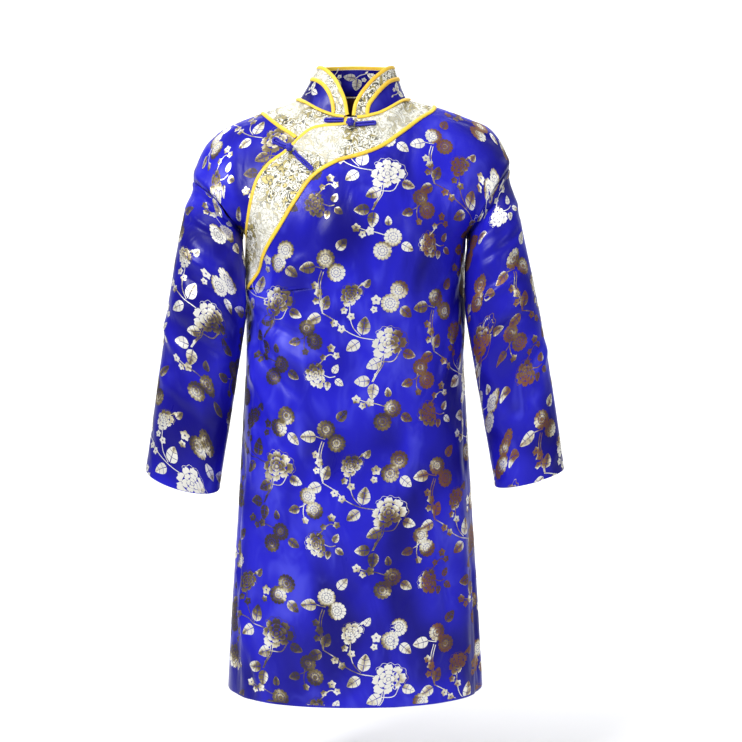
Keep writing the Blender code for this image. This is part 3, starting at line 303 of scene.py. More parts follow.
FINE_BACK_CREASES = millimetres(Crease, (
    (300, -330, 180, -420, 10, -4.2), (-300, -330, -190, -440, 10, -4.2), (260, -400, 160, -520, 12, 3.6),
    (-270, -420, -160, -560, 12, 3.9), (150, -80, 60, -240, 22, 3.3), (-160, -90, -70, -260, 22, 3.3),
    (142, -500, 190, -1200, 9, 4.5), (75, -420, 90, -1100, 10, -3.9), (6, -520, -4, -1210, 9, 4.2),
    (-85, -460, -100, -1180, 10, -4.2), (-160, -560, -196, -1210, 9, 4.5),
    (-240, -620, -290, -1200, 10, -4.5), (290, -640, 320, -1210, 9, -4.2),
))
# On a sleeve, across is measured from its outer line, over the front to +, over the back to -.
SLEEVE_CREASES = {
    Side.RIGHT: millimetres(Crease, (
        (10, -250, 200, -350, 22, 6), (15, -310, 215, -420, 18, -5), (20, -390, 205, -480, 20, 5),
        (0, -470, 190, -580, 22, -3.5), (60, -600, 160, -740, 20, 3), (-10, -240, -190, -330, 22, 6),
        (-15, -300, -200, -400, 20, -5.5), (-20, -380, -190, -490, 22, 5), (-50, -560, -150, -700, 22, -3),
    )),
    Side.LEFT: millimetres(Crease, (
        (10, -220, 190, -340, 22, 5), (15, -290, 205, -400, 20, -5), (20, -360, 190, -460, 20, 4.5),
        (40, -500, 170, -560, 24, -3), (50, -610, 150, -720, 22, 3.5), (-10, -230, -180, -340, 22, 5.5),
        (-20, -310, -200, -420, 20, -5), (-20, -400, -190, -500, 22, 4.5), (-60, -580, -150, -690, 22, -3),
    )),
}
FINE_SLEEVE_CREASES = {
    Side.RIGHT: millimetres(Crease, (
        (-20, -160, 215, -262, 11, -9), (-20, -192, 215, -300, 12, 7), (20, -225, 165, -285, 9, -5),
        (30, -290, 190, -372, 8, 5.8), (105, -385, 215, -500, 6, -4.5), (120, -375, 215, -470, 6, 4.5),
        (0, -420, 125, -545, 13, 6), (60, -345, 190, -400, 8, -4.2), (40, -420, 200, -520, 10, -3.9),
        (80, -440, 200, -505, 8, 3.9), (10, -520, 130, -610, 12, 3.3), (50, -560, 180, -660, 10, -3),
        (0, -640, 90, -740, 12, -2.7), (-30, -340, -180, -440, 10, 4.5), (-30, -440, -180, -560, 11, -4.2),
        (-50, -640, -140, -740, 11, 3),
    )),
    Side.LEFT: millimetres(Crease, (
        (-20, -150, 215, -262, 11, -8), (-20, -185, 215, -300, 12, 6.5), (30, -250, 180, -330, 9, -5),
        (30, -320, 190, -405, 9, 5.2), (95, -420, 215, -520, 8, -4.5), (0, -470, 120, -580, 13, 5),
        (60, -410, 190, -480, 10, -3.9), (30, -450, 150, -520, 10, 3.3), (60, -560, 170, -640, 10, -3.3),
        (20, -660, 100, -740, 12, 2.7), (-30, -360, -180, -460, 10, 4.2),
        (-30, -480, -180, -590, 11, -3.9),
    )),
}
# The slanting edge of the lap in the front view, as the middle of its yellow edge (x, z).
LAP_EDGE = millimetres(Spot, (
    (-15, -56), (-52, -58.5), (-86, -66), (-110, -85), (-133, -108), (-166, -132), (-188, -160),
    (-200, -198), (-208, -240), (-214, -272),
))
# Below the armpit the lap's edge runs down the side: (height, turn in degrees).
SIDE_EDGE = (
    (-1.200, -94.0), (-1.110, -93.0), (-1.040, -90.5), (-0.940, -90.5), (-0.860, -93.5), (-0.640, -94.0),
    (-0.560, -91.0), (-0.400, -90.0), (-0.320, -88.5),
)
# The inner line of the lap's brocade, from the left shoulder to the right side (x, z).
LAP_TRIM = millimetres(Spot, (
    (156, -18), (118, -48), (82, -76), (46, -101), (8, -116), (-38, -130), (-80, -156), (-113, -201),
    (-142, -248), (-168, -290), (-188, -333), (-205, -375),
))
# The outer line of the brocade on the right shoulder and over the back (x, z).
SHOULDER_TRIM = millimetres(Spot, (
    (-185, -28), (-168, -43), (-149, -58), (-128, -72), (-110, -85), (-95, -95),
))
BACK_TRIM = millimetres(Spot, (
    (-185, -28), (-150, -60), (-90, -82), (-10, -88), (70, -78), (125, -50), (156, -18),
))
# The edges of the brocade on the collar, from the neck seam up, as they show from the front (x, z).
COLLAR_EDGE = {
    Side.RIGHT: millimetres(Spot, (
        (-20, -40), (-26.3, -6.6), (-34, 12.4), (-42.8, 30), (-53.7, 43.3), (-66, 54), (-75.5, 58),
    )),
    Side.LEFT: millimetres(Spot, (
        (-1, -40), (4.4, -13.8), (13.3, 2.2), (24, 16.3), (36.5, 30.5), (51, 43.5), (65.5, 54.5),
        (75.5, 58),
    )),
}
COLLAR_BAND = {
    Side.RIGHT: millimetres(Spot, (
        (-42.5, -38.5), (-45.7, -13.1), (-51.3, 3.6), (-61, 19.6), (-72.4, 30.4), (-85, 37),
    )),
    Side.LEFT: millimetres(Spot, (
        (21.2, -39), (25.9, -16), (36.9, -0.5), (50.1, 15.4), (66.7, 30.4), (82, 38),
    )),
}


# The body's surface.


def creased(across: Array, height: Array, creases: Sequence[Crease]) -> Array:
    """How far the creases raise the cloth.

    Each is a bell exp(-(d/w)^2) of the distance d from its line, which fades over a quarter of
    its length at each end.

    Args:
        across: Distances round the cloth.
        height: Heights in the robe.
        creases: The rows of a table of creases.

    Returns:
        The sum of their rises at each place.
    """
    total = np.zeros(np.broadcast(across, height).shape)
    for crease in creases:
        line = np.array([crease.to_across - crease.across, crease.to_height - crease.height])
        length = np.hypot(*line)
        line = line / length
        from_start = (across - crease.across) * line[0] + (height - crease.height) * line[1]
        beside = (across - crease.across) * line[1] - (height - crease.height) * line[0]
        share = from_start / length
        fade = smooth_step(share / 0.25) * smooth_step((1.0 - share) / 0.25)
        total = total + crease.rise * fade * np.exp(-((beside / crease.half_width) ** 2))
    return total


class FrontRows(NamedTuple):
    """Rows that both fronts share: level, and turns of the side, lap edge, lap trim and yoke line."""

    level: Array
    side: Array
    edge: Array
    lap_trim: Array
    shoulder_trim: Array


@dataclass(frozen=True)
class Body:
    """The body as one surface of two numbers.

    Turn is the angle from the front or back centre, 90 degrees at the sides. Level is 0 at the
    armpits, 1 along the neck and shoulders, and falls below 0 towards the hem.
    """

    hem: float = -1.184
    armpit: float = -0.273
    rise: float = 0.27
    fullness: float = 0.16
    wall: float = 0.003
    lap_lift: float = 0.0038
    lap_reach: float = math.radians(15)
    lap_fade: float = math.radians(22)
    under_sink: float = 0.0080
    under_fade: float = math.radians(7)
    neck_fade: float = math.radians(3.0)
    neck_turn: float = math.radians(28)
    neck_x: float = -0.005
    neck_half_width: float = 0.105
    neck_front: float = 0.078
    neck_back: float = 0.072
    neck_front_drop: float = 0.041
    neck_back_rise: float = 0.012
    up_neck_front: tuple = (0.0, 0.075, 0.085)
    up_neck_back: tuple = (0.0, -0.055, 0.125)
    over_shoulder: tuple = (0.15, 0.22)
    bow: float = 0.36
    bow_drop: float = 0.12
    top_level: float = 0.9988
    corner_spread: float = math.radians(20)
    corner_shares: tuple = ((-1.0, 0.10), (-0.5, 0.22), (0.0, 0.36), (0.5, 0.22), (1.0, 0.10))
    puff: float = 0.0085
    puff_width: float = 0.020
    ripple: float = 0.0011
    ripple_rate: float = 190.0
    ripple_width: float = 0.016
    seam_depth: float = 0.0050
    edge_width: float = 0.007
    seam_turn: float = 0.0009
    seam: float = 0.0003

    def ring(self, turn: Array, height: Array, back: bool) -> Array:
        """A section's point: half an ellipse, filled out between its axes by sin squared."""
        knots = [row.height for row in BODY]
        width = through(knots, [row.half_width for row in BODY], height)
        depth = through(knots, [row.back if back else row.front for row in BODY], height)
        side = np.sin(turn)
        away = depth * np.cos(turn) * (1.0 + self.fullness * side**2)
        level = np.broadcast_to(height, side.shape)
        return np.stack([width * side, away if back else -away, level], axis=-1)

    def shoulder_line(self, turn: Array) -> Array:
        """The shoulder line past the neck, evenly along the ridge of the side the turn is on."""
        share = (np.abs(turn) - self.neck_turn) / (QUARTER - self.neck_turn)
        found = []
        for side in (Side.RIGHT, Side.LEFT):
            points = np.array([(side.value * row.out, row.depth, row.height) for row in RIDGES[side]])
            steps = steps_of(points)
            found.append(through(run_of(steps) / steps.sum(), points, share))
        return np.where((turn < 0)[..., None], found[0], found[1])

    def neck_line(self, turn: Array, back: bool) -> Array:
        """The neck seam: half an ellipse that drops to the front and rises to the back."""
        around = QUARTER * np.clip(turn / self.neck_turn, -1.0, 1.0)
        forward = np.cos(around)
        depth = self.neck_back * forward if back else -self.neck_front * forward
        height = self.neck_back_rise * forward**2 if back else -self.neck_front_drop * forward**2
        return np.stack([self.neck_x + self.neck_half_width * np.sin(around), depth, height], axis=-1)

    def top_line(self, turn: Array, back: bool) -> tuple[Array, Array]:
        """The top edge of a panel, and the direction in which the cloth arrives there."""
        past_neck = np.abs(turn) > self.neck_turn
        points = np.where(past_neck[..., None], self.shoulder_line(turn), self.neck_line(turn, back))
        share = smooth_step(np.abs(turn) / self.neck_turn)[..., None]
        out = np.clip((np.abs(turn) - self.neck_turn) / (QUARTER - self.neck_turn), 0.0, 1.0)[..., None]
        over_shoulder = np.array([0.0, -1.0 if back else 1.0, 0.0]) * mix(*self.over_shoulder, out)
        up_neck = np.array(self.up_neck_back if back else self.up_neck_front)
        return points, mix(up_neck, over_shoulder, share)

    def softened_top(self, turn: Array, level: Array, back: bool) -> tuple[Array, Array]:
        """The top line as the cloth below follows it, averaged over turns so that its corner is even."""
        spread = self.corner_spread * smooth_step((1.0 - level) / 0.45)
        spread = spread * np.clip((QUARTER - np.abs(turn)) / 0.5, 0.0, 1.0)
        parts = [(self.top_line(turn + by * spread, back), share) for by, share in self.corner_shares]
        points = sum(found[0] * share for found, share in parts)
        return points, sum(found[1] * share for found, share in parts)

    def panel(self, turn: Array, level: Array, back: bool) -> Array:
        """A point before folds: a section below the armpit, and above it a cubic up to the top line."""
        turn, level = together(turn, level)
        below = self.ring(turn, self.armpit + self.rise * np.minimum(level, 0.0), back)
        foot = self.ring(turn, np.full(turn.shape, self.armpit), back)
        step = 0.004
        leaving = self.ring(turn, np.full(turn.shape, self.armpit + step), back) - foot
        leaving = leaving * (self.rise / step)
        bow = np.array([0.0, self.bow if back else -self.bow, -self.bow_drop])
        leaving = leaving + bow * (np.sin(turn) ** 8)[..., None]
        top, arriving = self.softened_top(turn, np.maximum(level, 0.0), back)
        above = hermite(foot, top, leaving, arriving, np.maximum(level, 0.0)[..., None])
        return np.where(level[..., None] > 0, above, below)

    def normal(self, turn: Array, level: Array, back: bool) -> Array:
        """The outward normal of the panel."""
        turn, level = together(turn, level)
        inner_turn = np.clip(turn, -QUARTER + 2e-3, QUARTER - 2e-3)
        inner_level = np.minimum(level, 1.0 - 2e-3)
        found = normals_of(lambda a, b: self.panel(a, b, back), inner_turn, inner_level)
        return -found if back else found

    def folds(self, turn: Array, level: Array, points: Array, back: bool) -> Array:
        """The rise of the cloth: large and fine creases, and the puff and sink beside a sleeve seam."""
        across = BODY_REACH * turn
        large = creased(across, points[..., 2], BACK_CREASES if back else FRONT_CREASES)
        fine = creased(across, points[..., 2], FINE_BACK_CREASES if back else FINE_FRONT_CREASES)
        from_seam = (QUARTER - np.abs(turn)) * SEAM_REACH
        puff = self.puff * np.exp(-(((from_seam - 0.6 * self.puff_width) / (0.62 * self.puff_width)) ** 2))
        sink = self.seam_depth * np.exp(-((from_seam / (0.45 * self.puff_width)) ** 2))
        beside = smooth_step(level / 0.25) * (1.0 - 0.75 * near_top(level))
        at_side = smooth_step((np.abs(turn) - 1.1) / 0.3)
        quiet_neck = 1.0 - smooth_step((level - 0.55) / 0.25) * (1.0 - at_side)
        ripple = self.ripple * np.sin(points[..., 2] * self.ripple_rate)
        ripple = ripple * np.exp(-from_seam / self.ripple_width)
        return (large + fine) * quiet_neck + (puff - sink + ripple) * beside

    def surface(self, turn: Array, level: Array, back: bool) -> tuple[Array, Array]:
        """The outer surface with its folds, and its normals.

        A turn over 90 degrees on the front is the back's surface, because the lap's edge lies just
        round the side.

        Args:
            turn: Angles from the centre.
            level: Levels, 0 at the armpit.
            back: Whether the panel is the back.

        Returns:
            Points and unit normals.
        """
        turn, level = together(turn, level)
        points, normals = np.empty(turn.shape + (3,)), np.empty(turn.shape + (3,))
        for is_back in (False, True):
            chosen = (np.abs(turn) > QUARTER) != (is_back == back)
            if not chosen.any():
                continue
            flat = turn[chosen]
            folded = np.where(np.abs(flat) > QUARTER, np.sign(flat) * math.pi - flat, flat)
            base = self.panel(folded, level[chosen], is_back)
            normal = self.normal(folded, level[chosen], is_back)
            rise = self.folds(folded, level[chosen], base, is_back)
            points[chosen] = base + normal * rise[..., None]
            normals[chosen] = normal
        return points, normals

    def armhole_normal(self, points: Array, side: Side) -> Array:
        """The direction of thickness at a sleeve seam: away from the middle of the armhole."""
        row = SLEEVES[side][0]
        outer = np.array([side.value * row.outer, row.middle, row.outer_height])
        inner = np.array([side.value * row.inner, row.middle, row.inner_height])
        middle, half = (outer + inner) / 2, (outer - inner) / 2
        away = points - middle
        share = (1.0 + (away @ half) / (half @ half)) / 2
        away[..., 0] *= np.clip(share, 0.0, 1.0)
        return unit(away)

    def wall_direction(self, turn: Array, level: Array, points: Array, normals: Array) -> Array:
        """The normals, turned near a sleeve seam to what the sleeve's wall uses there too."""
        near = smooth_step((np.abs(turn) - math.radians(76)) / math.radians(14))
        near = near * smooth_step(1.0 + level / 0.10) * (np.abs(turn) <= QUARTER + 1e-6)
        right = self.armhole_normal(points, Side.RIGHT)
        shared = np.where((turn < 0)[..., None], right, self.armhole_normal(points, Side.LEFT))
        return unit(mix(normals, shared, near[..., None]))

    def placed(self, turn: Array, level: Array, back: bool, lift: Array | float) -> tuple[Array, Array]:
        """Points of the cloth moved out by a lift, and the direction in which the wall is thick."""
        turn, level = together(turn, level)
        points, normals = self.surface(turn, level, back)
        outward = self.wall_direction(turn, level, points, normals)
        return points + outward * np.broadcast_to(lift, turn.shape)[..., None], outward

    def front_at(self, positions: Sequence, back: bool = False) -> tuple[Array, Array]:
        """Turn and level of the points that show at (x, z) from the front, by halving both ranges."""
        positions = np.asarray(positions, float)
        low, high = np.full(len(positions), -0.9), np.full(len(positions), 1.0)
        for _ in range(24):
            level = (low + high) / 2
            left, right = np.full(len(positions), -QUARTER), np.full(len(positions), QUARTER)
            for _ in range(24):
                turn = (left + right) / 2
                too_far = self.panel(turn, level, back)[:, 0] > positions[:, 0]
                left, right = np.where(too_far, left, turn), np.where(too_far, turn, right)
            too_high = self.panel(turn, level, back)[:, 2] > positions[:, 1]
            low, high = np.where(too_high, low, level), np.where(too_high, level, high)
        return turn, level

    def slid(self, turn: Array, level: Array, by: float) -> tuple[Array, Array]:
        """A path on the front moved sideways by a distance, to the right of the way it runs."""
        step = 1e-4
        points, normals = self.panel(turn, level, False), self.normal(turn, level, False)
        sideways = unit(np.cross(np.gradient(points, axis=0), normals)) * by
        before, after = (self.panel(turn + way * step, level, False) for way in (-1, 1))
        per_turn = (after - before) / (2 * step)
        per_level = (points - self.panel(turn, level - step, False)) / step
        a, b, c = (per_turn**2).sum(-1), (per_turn * per_level).sum(-1), (per_level**2).sum(-1)
        p, q = (per_turn * sideways).sum(-1), (per_level * sideways).sum(-1)
        spread = a * c - b * b
        return turn + (p * c - q * b) / spread, level + (q * a - p * b) / spread

    def turns_of(self, line: Sequence, slide: float = 0.0) -> tuple[Array, Array]:
        """A line given in the front view, as the levels that it passes and its turn at each."""
        turn, level = self.front_at(evenly_through(line, 80))
        if slide:
            turn, level = self.slid(turn, level, slide)
        order = np.argsort(level)
        return level[order], turn[order]

    def level_of(self, height: Array | float) -> Array | float:
        """The level of a height below the armpit."""
        return (height - self.armpit) / self.rise

    def under_side_turn(self, level: Array) -> Array:
        """The turn of the right side seam: at the side above the armpit, and behind it below."""
        return -QUARTER - math.radians(12) * smooth_step(-level / 0.35)

    def rows(self, above: int, at_neck: int, below: int) -> FrontRows:
        """The rows that both fronts share.

        Args:
            above: Rows between the armpit and the lap's corner.
            at_neck: Rows over that corner.
            below: Rows from the hem to the armpit.

        Returns:
            Each row's level, and the turns of the seams that it crosses.
        """
        edge_level, edge_turn = self.turns_of(LAP_EDGE, -(self.edge_width / 2 + self.seam))
        trim_level, trim_turn = self.turns_of(LAP_TRIM)
        shoulder_level, shoulder_turn = self.turns_of(SHOULDER_TRIM)
        corner = edge_level[-1]
        dense = np.linspace(0.0, corner, 300)
        steps = np.full(len(dense) - 1, self.rise * corner / (len(dense) - 1))
        for at, turn in ((edge_level, edge_turn), (trim_level, trim_turn)):
            steps = np.maximum(steps, BODY_REACH * np.abs(np.diff(np.interp(dense, at, turn))))
        run = run_of(steps)
        middle = np.interp(np.linspace(0.0, run[-1], above + 1), run, dense)
        low = self.level_of(np.linspace(self.hem, self.armpit, below + 1))[:-1]
        height = self.armpit + self.rise * low
        side_edge = np.array(SIDE_EDGE)
        side_turn = np.radians(through(side_edge[:, 0], side_edge[:, 1], height))
        low_turn = mix(edge_turn[0], side_turn, smooth_step((self.armpit - height) / 0.10))
        top = np.linspace(corner, self.top_level, at_neck + 1)[1:]
        level = np.concatenate([low, middle, top])
        edge = np.concatenate([low_turn, np.interp(middle, edge_level, edge_turn), top * 0 + edge_turn[-1]])
        return FrontRows(
            level,
            self.under_side_turn(level),
            edge,
            np.interp(level, trim_level, trim_turn, left=-math.pi),
            np.interp(level, shoulder_level, shoulder_turn),
        )

    def over_neck(self, level: Array) -> Array:
        """1 over most of the front, down to 0 where the lap comes into the neck seam."""
        return 1.0 - smooth_step((level - 0.90) / 0.09)

    def lift_of_lap(self, turn: Array, level: Array, edge: Array) -> Array:
        """How far the lap lies over the right front: all of it near its edge, none further on."""
        fade = 1.0 - smooth_step((turn - edge - self.lap_reach) / self.lap_fade)
        return self.lap_lift * fade * self.over_neck(level)

    def under_drop(self, turn: Array, level: Array, edge: Array) -> Array:
        """How far the right front sinks below its own surface where the lap covers it."""
        beneath = self.under_sink * smooth_step((turn - edge) / self.under_fade)
        at_neck = (1.0 - self.over_neck(level)) * smooth_step((turn - edge) / self.neck_fade + 1.0)
        return beneath + self.lap_lift * at_neck

    def seam_shift(self, level: Array, turn: Array) -> Array:
        """Half of the gap at a slanting seam, as a turn along the rows that it crosses."""
        slope = np.gradient(turn, level) * BODY_REACH / self.rise
        return self.seam_turn * np.sqrt(1.0 + slope**2)


# Meshes.


class MeshBuilder:
    """Gathers grids and faces, with a UV at every face corner, and links them as one object."""

    def __init__(self) -> None:
        """Starts with nothing gathered."""
        self.points: list[Array] = []
        self.corners: list[Array] = []
        self.totals: list[Array] = []
        self.uvs: list[Array] = []
        self.slots: list[Array] = []
        self.tones: list[Array] = []
        self.count = 0

    def add_points(self, points: Array, tone: Array | None = None) -> Array:
        """Adds points, each with a number that is kept as the attribute "tone", and gives their indices."""
        points = points.reshape(-1, 3)
        self.points.append(points)
        self.tones.append(np.zeros(len(points)) if tone is None else tone)
        self.count += len(points)
        return np.arange(self.count - len(points), self.count)

    def add_faces(self, faces: Array, uv: Array | None, slot: int = 0) -> None:
        """Adds faces between points that are already here, with a UV for each corner."""
        self.corners.append(faces.ravel())
        self.totals.append(np.full(len(faces), faces.shape[1]))
        self.uvs.append(np.zeros((faces.size, 2)) if uv is None else uv.reshape(-1, 2))
        self.slots.append(np.full(len(faces), slot))

    def grid(self, points: Array, uv: Array, closed: bool, flip: bool, slot: int = 0) -> Array:
        """Adds a grid of quads.

        Args:
            points: Rows and columns of points.
            uv: UVs of the same rows and columns, with one more column where it is closed.
            closed: Whether the last column meets the first.
            flip: Whether the faces look the other way.
            slot: Their material slot.

        Returns:
            The indices of the points, with the first column again at the end where it is closed.
        """
        index = self.add_points(points).reshape(points.shape[:2])
        if closed:
            index = np.concatenate([index, index[:, :1]], axis=1)
        spots = np.arange(uv.shape[0] * uv.shape[1]).reshape(uv.shape[:2])
        faces, places = quads_of(index), quads_of(spots)
        if flip:
            faces, places = faces[:, ::-1], places[:, ::-1]
        self.add_faces(faces, uv.reshape(-1, 2)[places], slot)
        return index

    def bridge(self, near: Array, far: Array, uv: Array, flip: bool) -> None:
        """Joins two lines of points, already here, with a row of quads that share the lines' UVs."""
        faces = np.stack([near[:-1], near[1:], far[1:], far[:-1]], axis=-1)
        uv = np.stack([uv[:-1], uv[1:], uv[1:], uv[:-1]], axis=1)
        if flip:
            faces, uv = faces[:, ::-1], uv[:, ::-1]
        self.add_faces(faces, uv)

    def build(self, name: str, *materials: bpy.types.Material) -> bpy.types.Object:
        """Links the gathered mesh as an object that rides on the robe's one body.

        Args:
            name: The piece's name.
            materials: Its material slots.

        Returns:
            The object.
        """
        totals = np.concatenate(self.totals)
        mesh = bpy.data.meshes.new(name)
        mesh.vertices.add(self.count)
        mesh.loops.add(int(totals.sum()))
        mesh.polygons.add(len(totals))
        starts = np.concatenate([[0], np.cumsum(totals)[:-1]])
        for target, key, parts, kind in (
            (mesh.vertices, "co", self.points, np.float32),
            (mesh.loops, "vertex_index", self.corners, np.int32),
            (mesh.polygons, "loop_start", [starts], np.int32),
            (mesh.polygons, "material_index", self.slots, np.int32),
        ):
            target.foreach_set(key, np.concatenate(parts).astype(kind).ravel())
        mesh.update(calc_edges=True)
        layer = mesh.uv_layers.new(name="cloth")
        layer.data.foreach_set("uv", np.concatenate(self.uvs).astype(np.float32).ravel())
        tone = mesh.attributes.new("tone", "FLOAT", "POINT")
        tone.data.foreach_set("value", np.concatenate(self.tones).astype(np.float32))
        mesh.validate()
        for material in materials:
            mesh.materials.append(material)
        mesh.shade_smooth()
        mesh.set_sharp_from_angle(angle=SHARP_ANGLE)
        made = bpy.data.objects.new(name, mesh)
        bpy.context.scene.collection.objects.link(made)
        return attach(made, "root")


def quads_of(index: Array) -> Array:
    """The quads of a grid of indices, one for each cell."""
    parts = (index[:-1, :-1], index[:-1, 1:], index[1:, 1:], index[1:, :-1])
    return np.stack([part.ravel() for part in parts], axis=1)


def round_rim(
    builder: MeshBuilder,
    edges: tuple[Array, Array],
    points: Array,
    outward: Array,
    beyond: Array,
    thickness: float,
    uv: Array,
    flip: bool,
) -> None:
    """Closes a wall's edge with half a circle from its outer line of points to its inner one.

    Args:
        builder: Where it goes.
        edges: The indices of the outer and the inner line.
        points: The outer line's points.
        outward: The wall's directions there.
        beyond: The directions out of the edge.
        thickness: The wall's thickness.
        uv: The line's UVs.
        flip: As for a bridge from the outer line to the inner one.
    """
    last, inner = edges
    middle = points - outward * thickness / 2
    for angle in np.radians([45.0, 90.0, 135.0]):
        ring = middle + (outward * math.cos(angle) + beyond * math.sin(angle)) * thickness / 2
        index = builder.add_points(ring)
        if len(last) > len(ring):
            index = np.append(index, index[0])
        builder.bridge(last, index, uv, flip)
        last = index
    builder.bridge(last, inner, uv, flip)


def add_wall(
    builder: MeshBuilder,
    outer: Array,
    outward: Array,
    thickness: float,
    flip: bool,
    closed: bool = False,
    rounded: int | None = None,
) -> None:
    """Adds a wall: its outer grid, its inner grid moved in by the thickness, and its rims.

    Args:
        builder: Where it goes.
        outer: The outer points in rows and columns.
        outward: The direction of thickness at each.
        thickness: The wall's thickness.
        flip: Whether the grid runs so that its plain faces look inwards.
        closed: Whether the last column meets the first.
        rounded: The row whose rim is round, 0 or -1, if one is.
    """
    uv = flat_run(np.concatenate([outer, outer[:, :1]], axis=1) if closed else outer)
    out = builder.grid(outer, uv, closed, flip)
    ins = builder.grid(outer - outward * thickness, uv, closed, not flip, 1)
    for row, beside, turned in ((0, 1, not flip), (-1, -2, flip)):
        if row == rounded:
            beyond = unit(outer[row] - outer[beside])
            edges = (out[row], ins[row])
            round_rim(builder, edges, outer[row], outward[row], beyond, thickness, uv[row], turned)
        else:
            builder.bridge(out[row], ins[row], uv[row], turned)
    if not closed:
        for column, turned in ((0, flip), (-1, not flip)):
            builder.bridge(out[:, column], ins[:, column], uv[:, column], turned)


def flat_run(points: Array) -> Array:
    """UVs of a grid in metres: the distance along its middle row, and that up its middle column."""
    across, up = points[len(points) // 2], points[:, points.shape[1] // 2]
    return np.stack(np.meshgrid(run_of(steps_of(across)), run_of(steps_of(up))), axis=-1)


def swept(builder: MeshBuilder, path: Array, outward: Array, profile: Array) -> None:
    """Carries a closed profile along a path over cloth, and closes its ends.

    Args:
        builder: Where it goes.
        path: Points along it.
        outward: The normal of the cloth at each.
        profile: Pairs of across and up.
    """
    along = unit(np.gradient(path, axis=0))
    beside = unit(np.cross(along, outward))
    up = unit(np.cross(beside, along))
    rings = path[:, None] + beside[:, None] * profile[:, :1] + up[:, None] * profile[:, 1:]
    sides = len(profile)
    uv = np.stack(np.meshgrid(np.linspace(0, 1, sides + 1), run_of(steps_of(path))), axis=-1)
    x, y = profile.T
    area = np.sum(x * np.roll(y, -1) - y * np.roll(x, -1))
    index = builder.grid(rings, uv, True, area > 0)
    for end, flip in ((0, area < 0), (-1, area > 0)):
        row = index[end, :-1]
        centre = builder.add_points(rings[end].mean(axis=0))
        fan = np.stack([np.repeat(centre, sides), row, np.roll(row, -1)], axis=-1)
        builder.add_faces(fan[:, ::-1] if flip else fan, None)


# Flat cloth and the foil print.


@dataclass
class FlatMap:
    """Lays flat cloth on a surface of two numbers.

    The flat place of a grid point is its distance along the surface from where both numbers are 0,
    first across and then up. A flat place is found on the surface by Newton's steps on those distances.
    """

    surface: Callable
    first: Array
    second: Array

    def __post_init__(self) -> None:
        """Works out the distances on the grid and how fast they grow."""
        a, b = np.meshgrid(self.first, self.second, indexing="ij")
        points = self.surface(a, b)
        self.across = self.run(points, 0, self.first)
        self.up = self.run(points, 1, self.second)
        self.across_rate = np.gradient(self.across, self.first, axis=0)
        self.up_rate = np.gradient(self.up, self.second, axis=1)

    def run(self, points: Array, axis: int, knots: Array) -> Array:
        """The distance along one axis of the grid, 0 at the knot nearest 0."""
        steps = np.linalg.norm(np.diff(points, axis=axis), axis=-1)
        total = np.cumsum(steps, axis=axis)
        total = np.concatenate([np.zeros_like(np.take(total, [0], axis)), total], axis=axis)
        return total - np.take(total, [int(np.abs(knots).argmin())], axis)

    def read(self, table: Array, a: Array, b: Array) -> Array:
        """A table of the grid between its points, even along both axes of each cell."""
        i = np.clip(np.interp(a, self.first, np.arange(len(self.first))), 0, len(self.first) - 1.001)
        j = np.clip(np.interp(b, self.second, np.arange(len(self.second))), 0, len(self.second) - 1.001)
        i0, j0 = i.astype(int), j.astype(int)
        s, t = i - i0, j - j0
        low = mix(table[i0, j0], table[i0 + 1, j0], s)
        return mix(low, mix(table[i0, j0 + 1], table[i0 + 1, j0 + 1], s), t)

    def find(self, flat: Array) -> tuple[Array, Array]:
        """The two numbers of the surface at flat places.

        Args:
            flat: Places as (across, up), in metres.

        Returns:
            The surface's two numbers, which are past its ends where the flat place is.
        """
        a = flat[..., 0] / np.median(self.across_rate)
        b = flat[..., 1] / np.median(self.up_rate)
        for _ in range(14):
            inner_a = np.clip(a, self.first[0], self.first[-1])
            inner_b = np.clip(b, self.second[0], self.second[-1])
            rate_a = np.maximum(self.read(self.across_rate, inner_a, inner_b), 1e-3)
            rate_b = np.maximum(self.read(self.up_rate, inner_a, inner_b), 1e-3)
            off_a = flat[..., 0] - self.read(self.across, inner_a, inner_b) - (a - inner_a) * rate_a
            off_b = flat[..., 1] - self.read(self.up, inner_a, inner_b) - (b - inner_b) * rate_b
            a, b = a + 0.8 * off_a / rate_a, b + 0.8 * off_b / rate_b
        return a, b


class Motif(NamedTuple):
    """A flat shape: its points, its triangles, and how dark its foil is painted, from 0 to 1, which holds
    painted shade across its petals and leaves.
    """

    points: Array
    faces: Array
    tone: Array


def joined(motifs: Sequence[Motif]) -> Motif:
    """Several motifs as one."""
    starts = np.cumsum([0] + [len(m.points) for m in motifs[:-1]])
    faces = [m.faces + start for m, start in zip(motifs, starts)]
    parts = ([m.points for m in motifs], faces, [m.tone for m in motifs])
    return Motif(*(np.concatenate(part) for part in parts))


def ribbon(left: Array, right: Array, tones: tuple[float, float] = (0.0, 0.0)) -> Motif:
    """The strip between two lines with the same number of points, with a tone along each line."""
    count = len(left)
    index = np.stack([np.arange(count), np.arange(count) + count], axis=1)
    quads = quads_of(index)
    faces = np.concatenate([quads[:, [0, 1, 2]], quads[:, [0, 2, 3]]])
    return Motif(np.concatenate([left, right]), faces, np.repeat(np.array(tones), count))


def moved(
    motif: Motif, x: float = 0.0, y: float = 0.0, turn: float = 0.0, size: float = 1.0, tone: float = 0.0
) -> Motif:
    """A motif turned by degrees, sized, and put at a place in millimetres."""
    c, s = math.cos(math.radians(turn)) * size, math.sin(math.radians(turn)) * size
    points = motif.points @ np.array([[c, s], [-s, c]]) + np.array([x, y]) * 1e-3
    return Motif(points, motif.faces, motif.tone + tone)


def polar(radius: Array, angle: Array) -> Array:
    """Points at distances in millimetres and angles in radians."""
    return np.stack([radius * np.cos(angle), radius * np.sin(angle)], axis=-1) * 1e-3


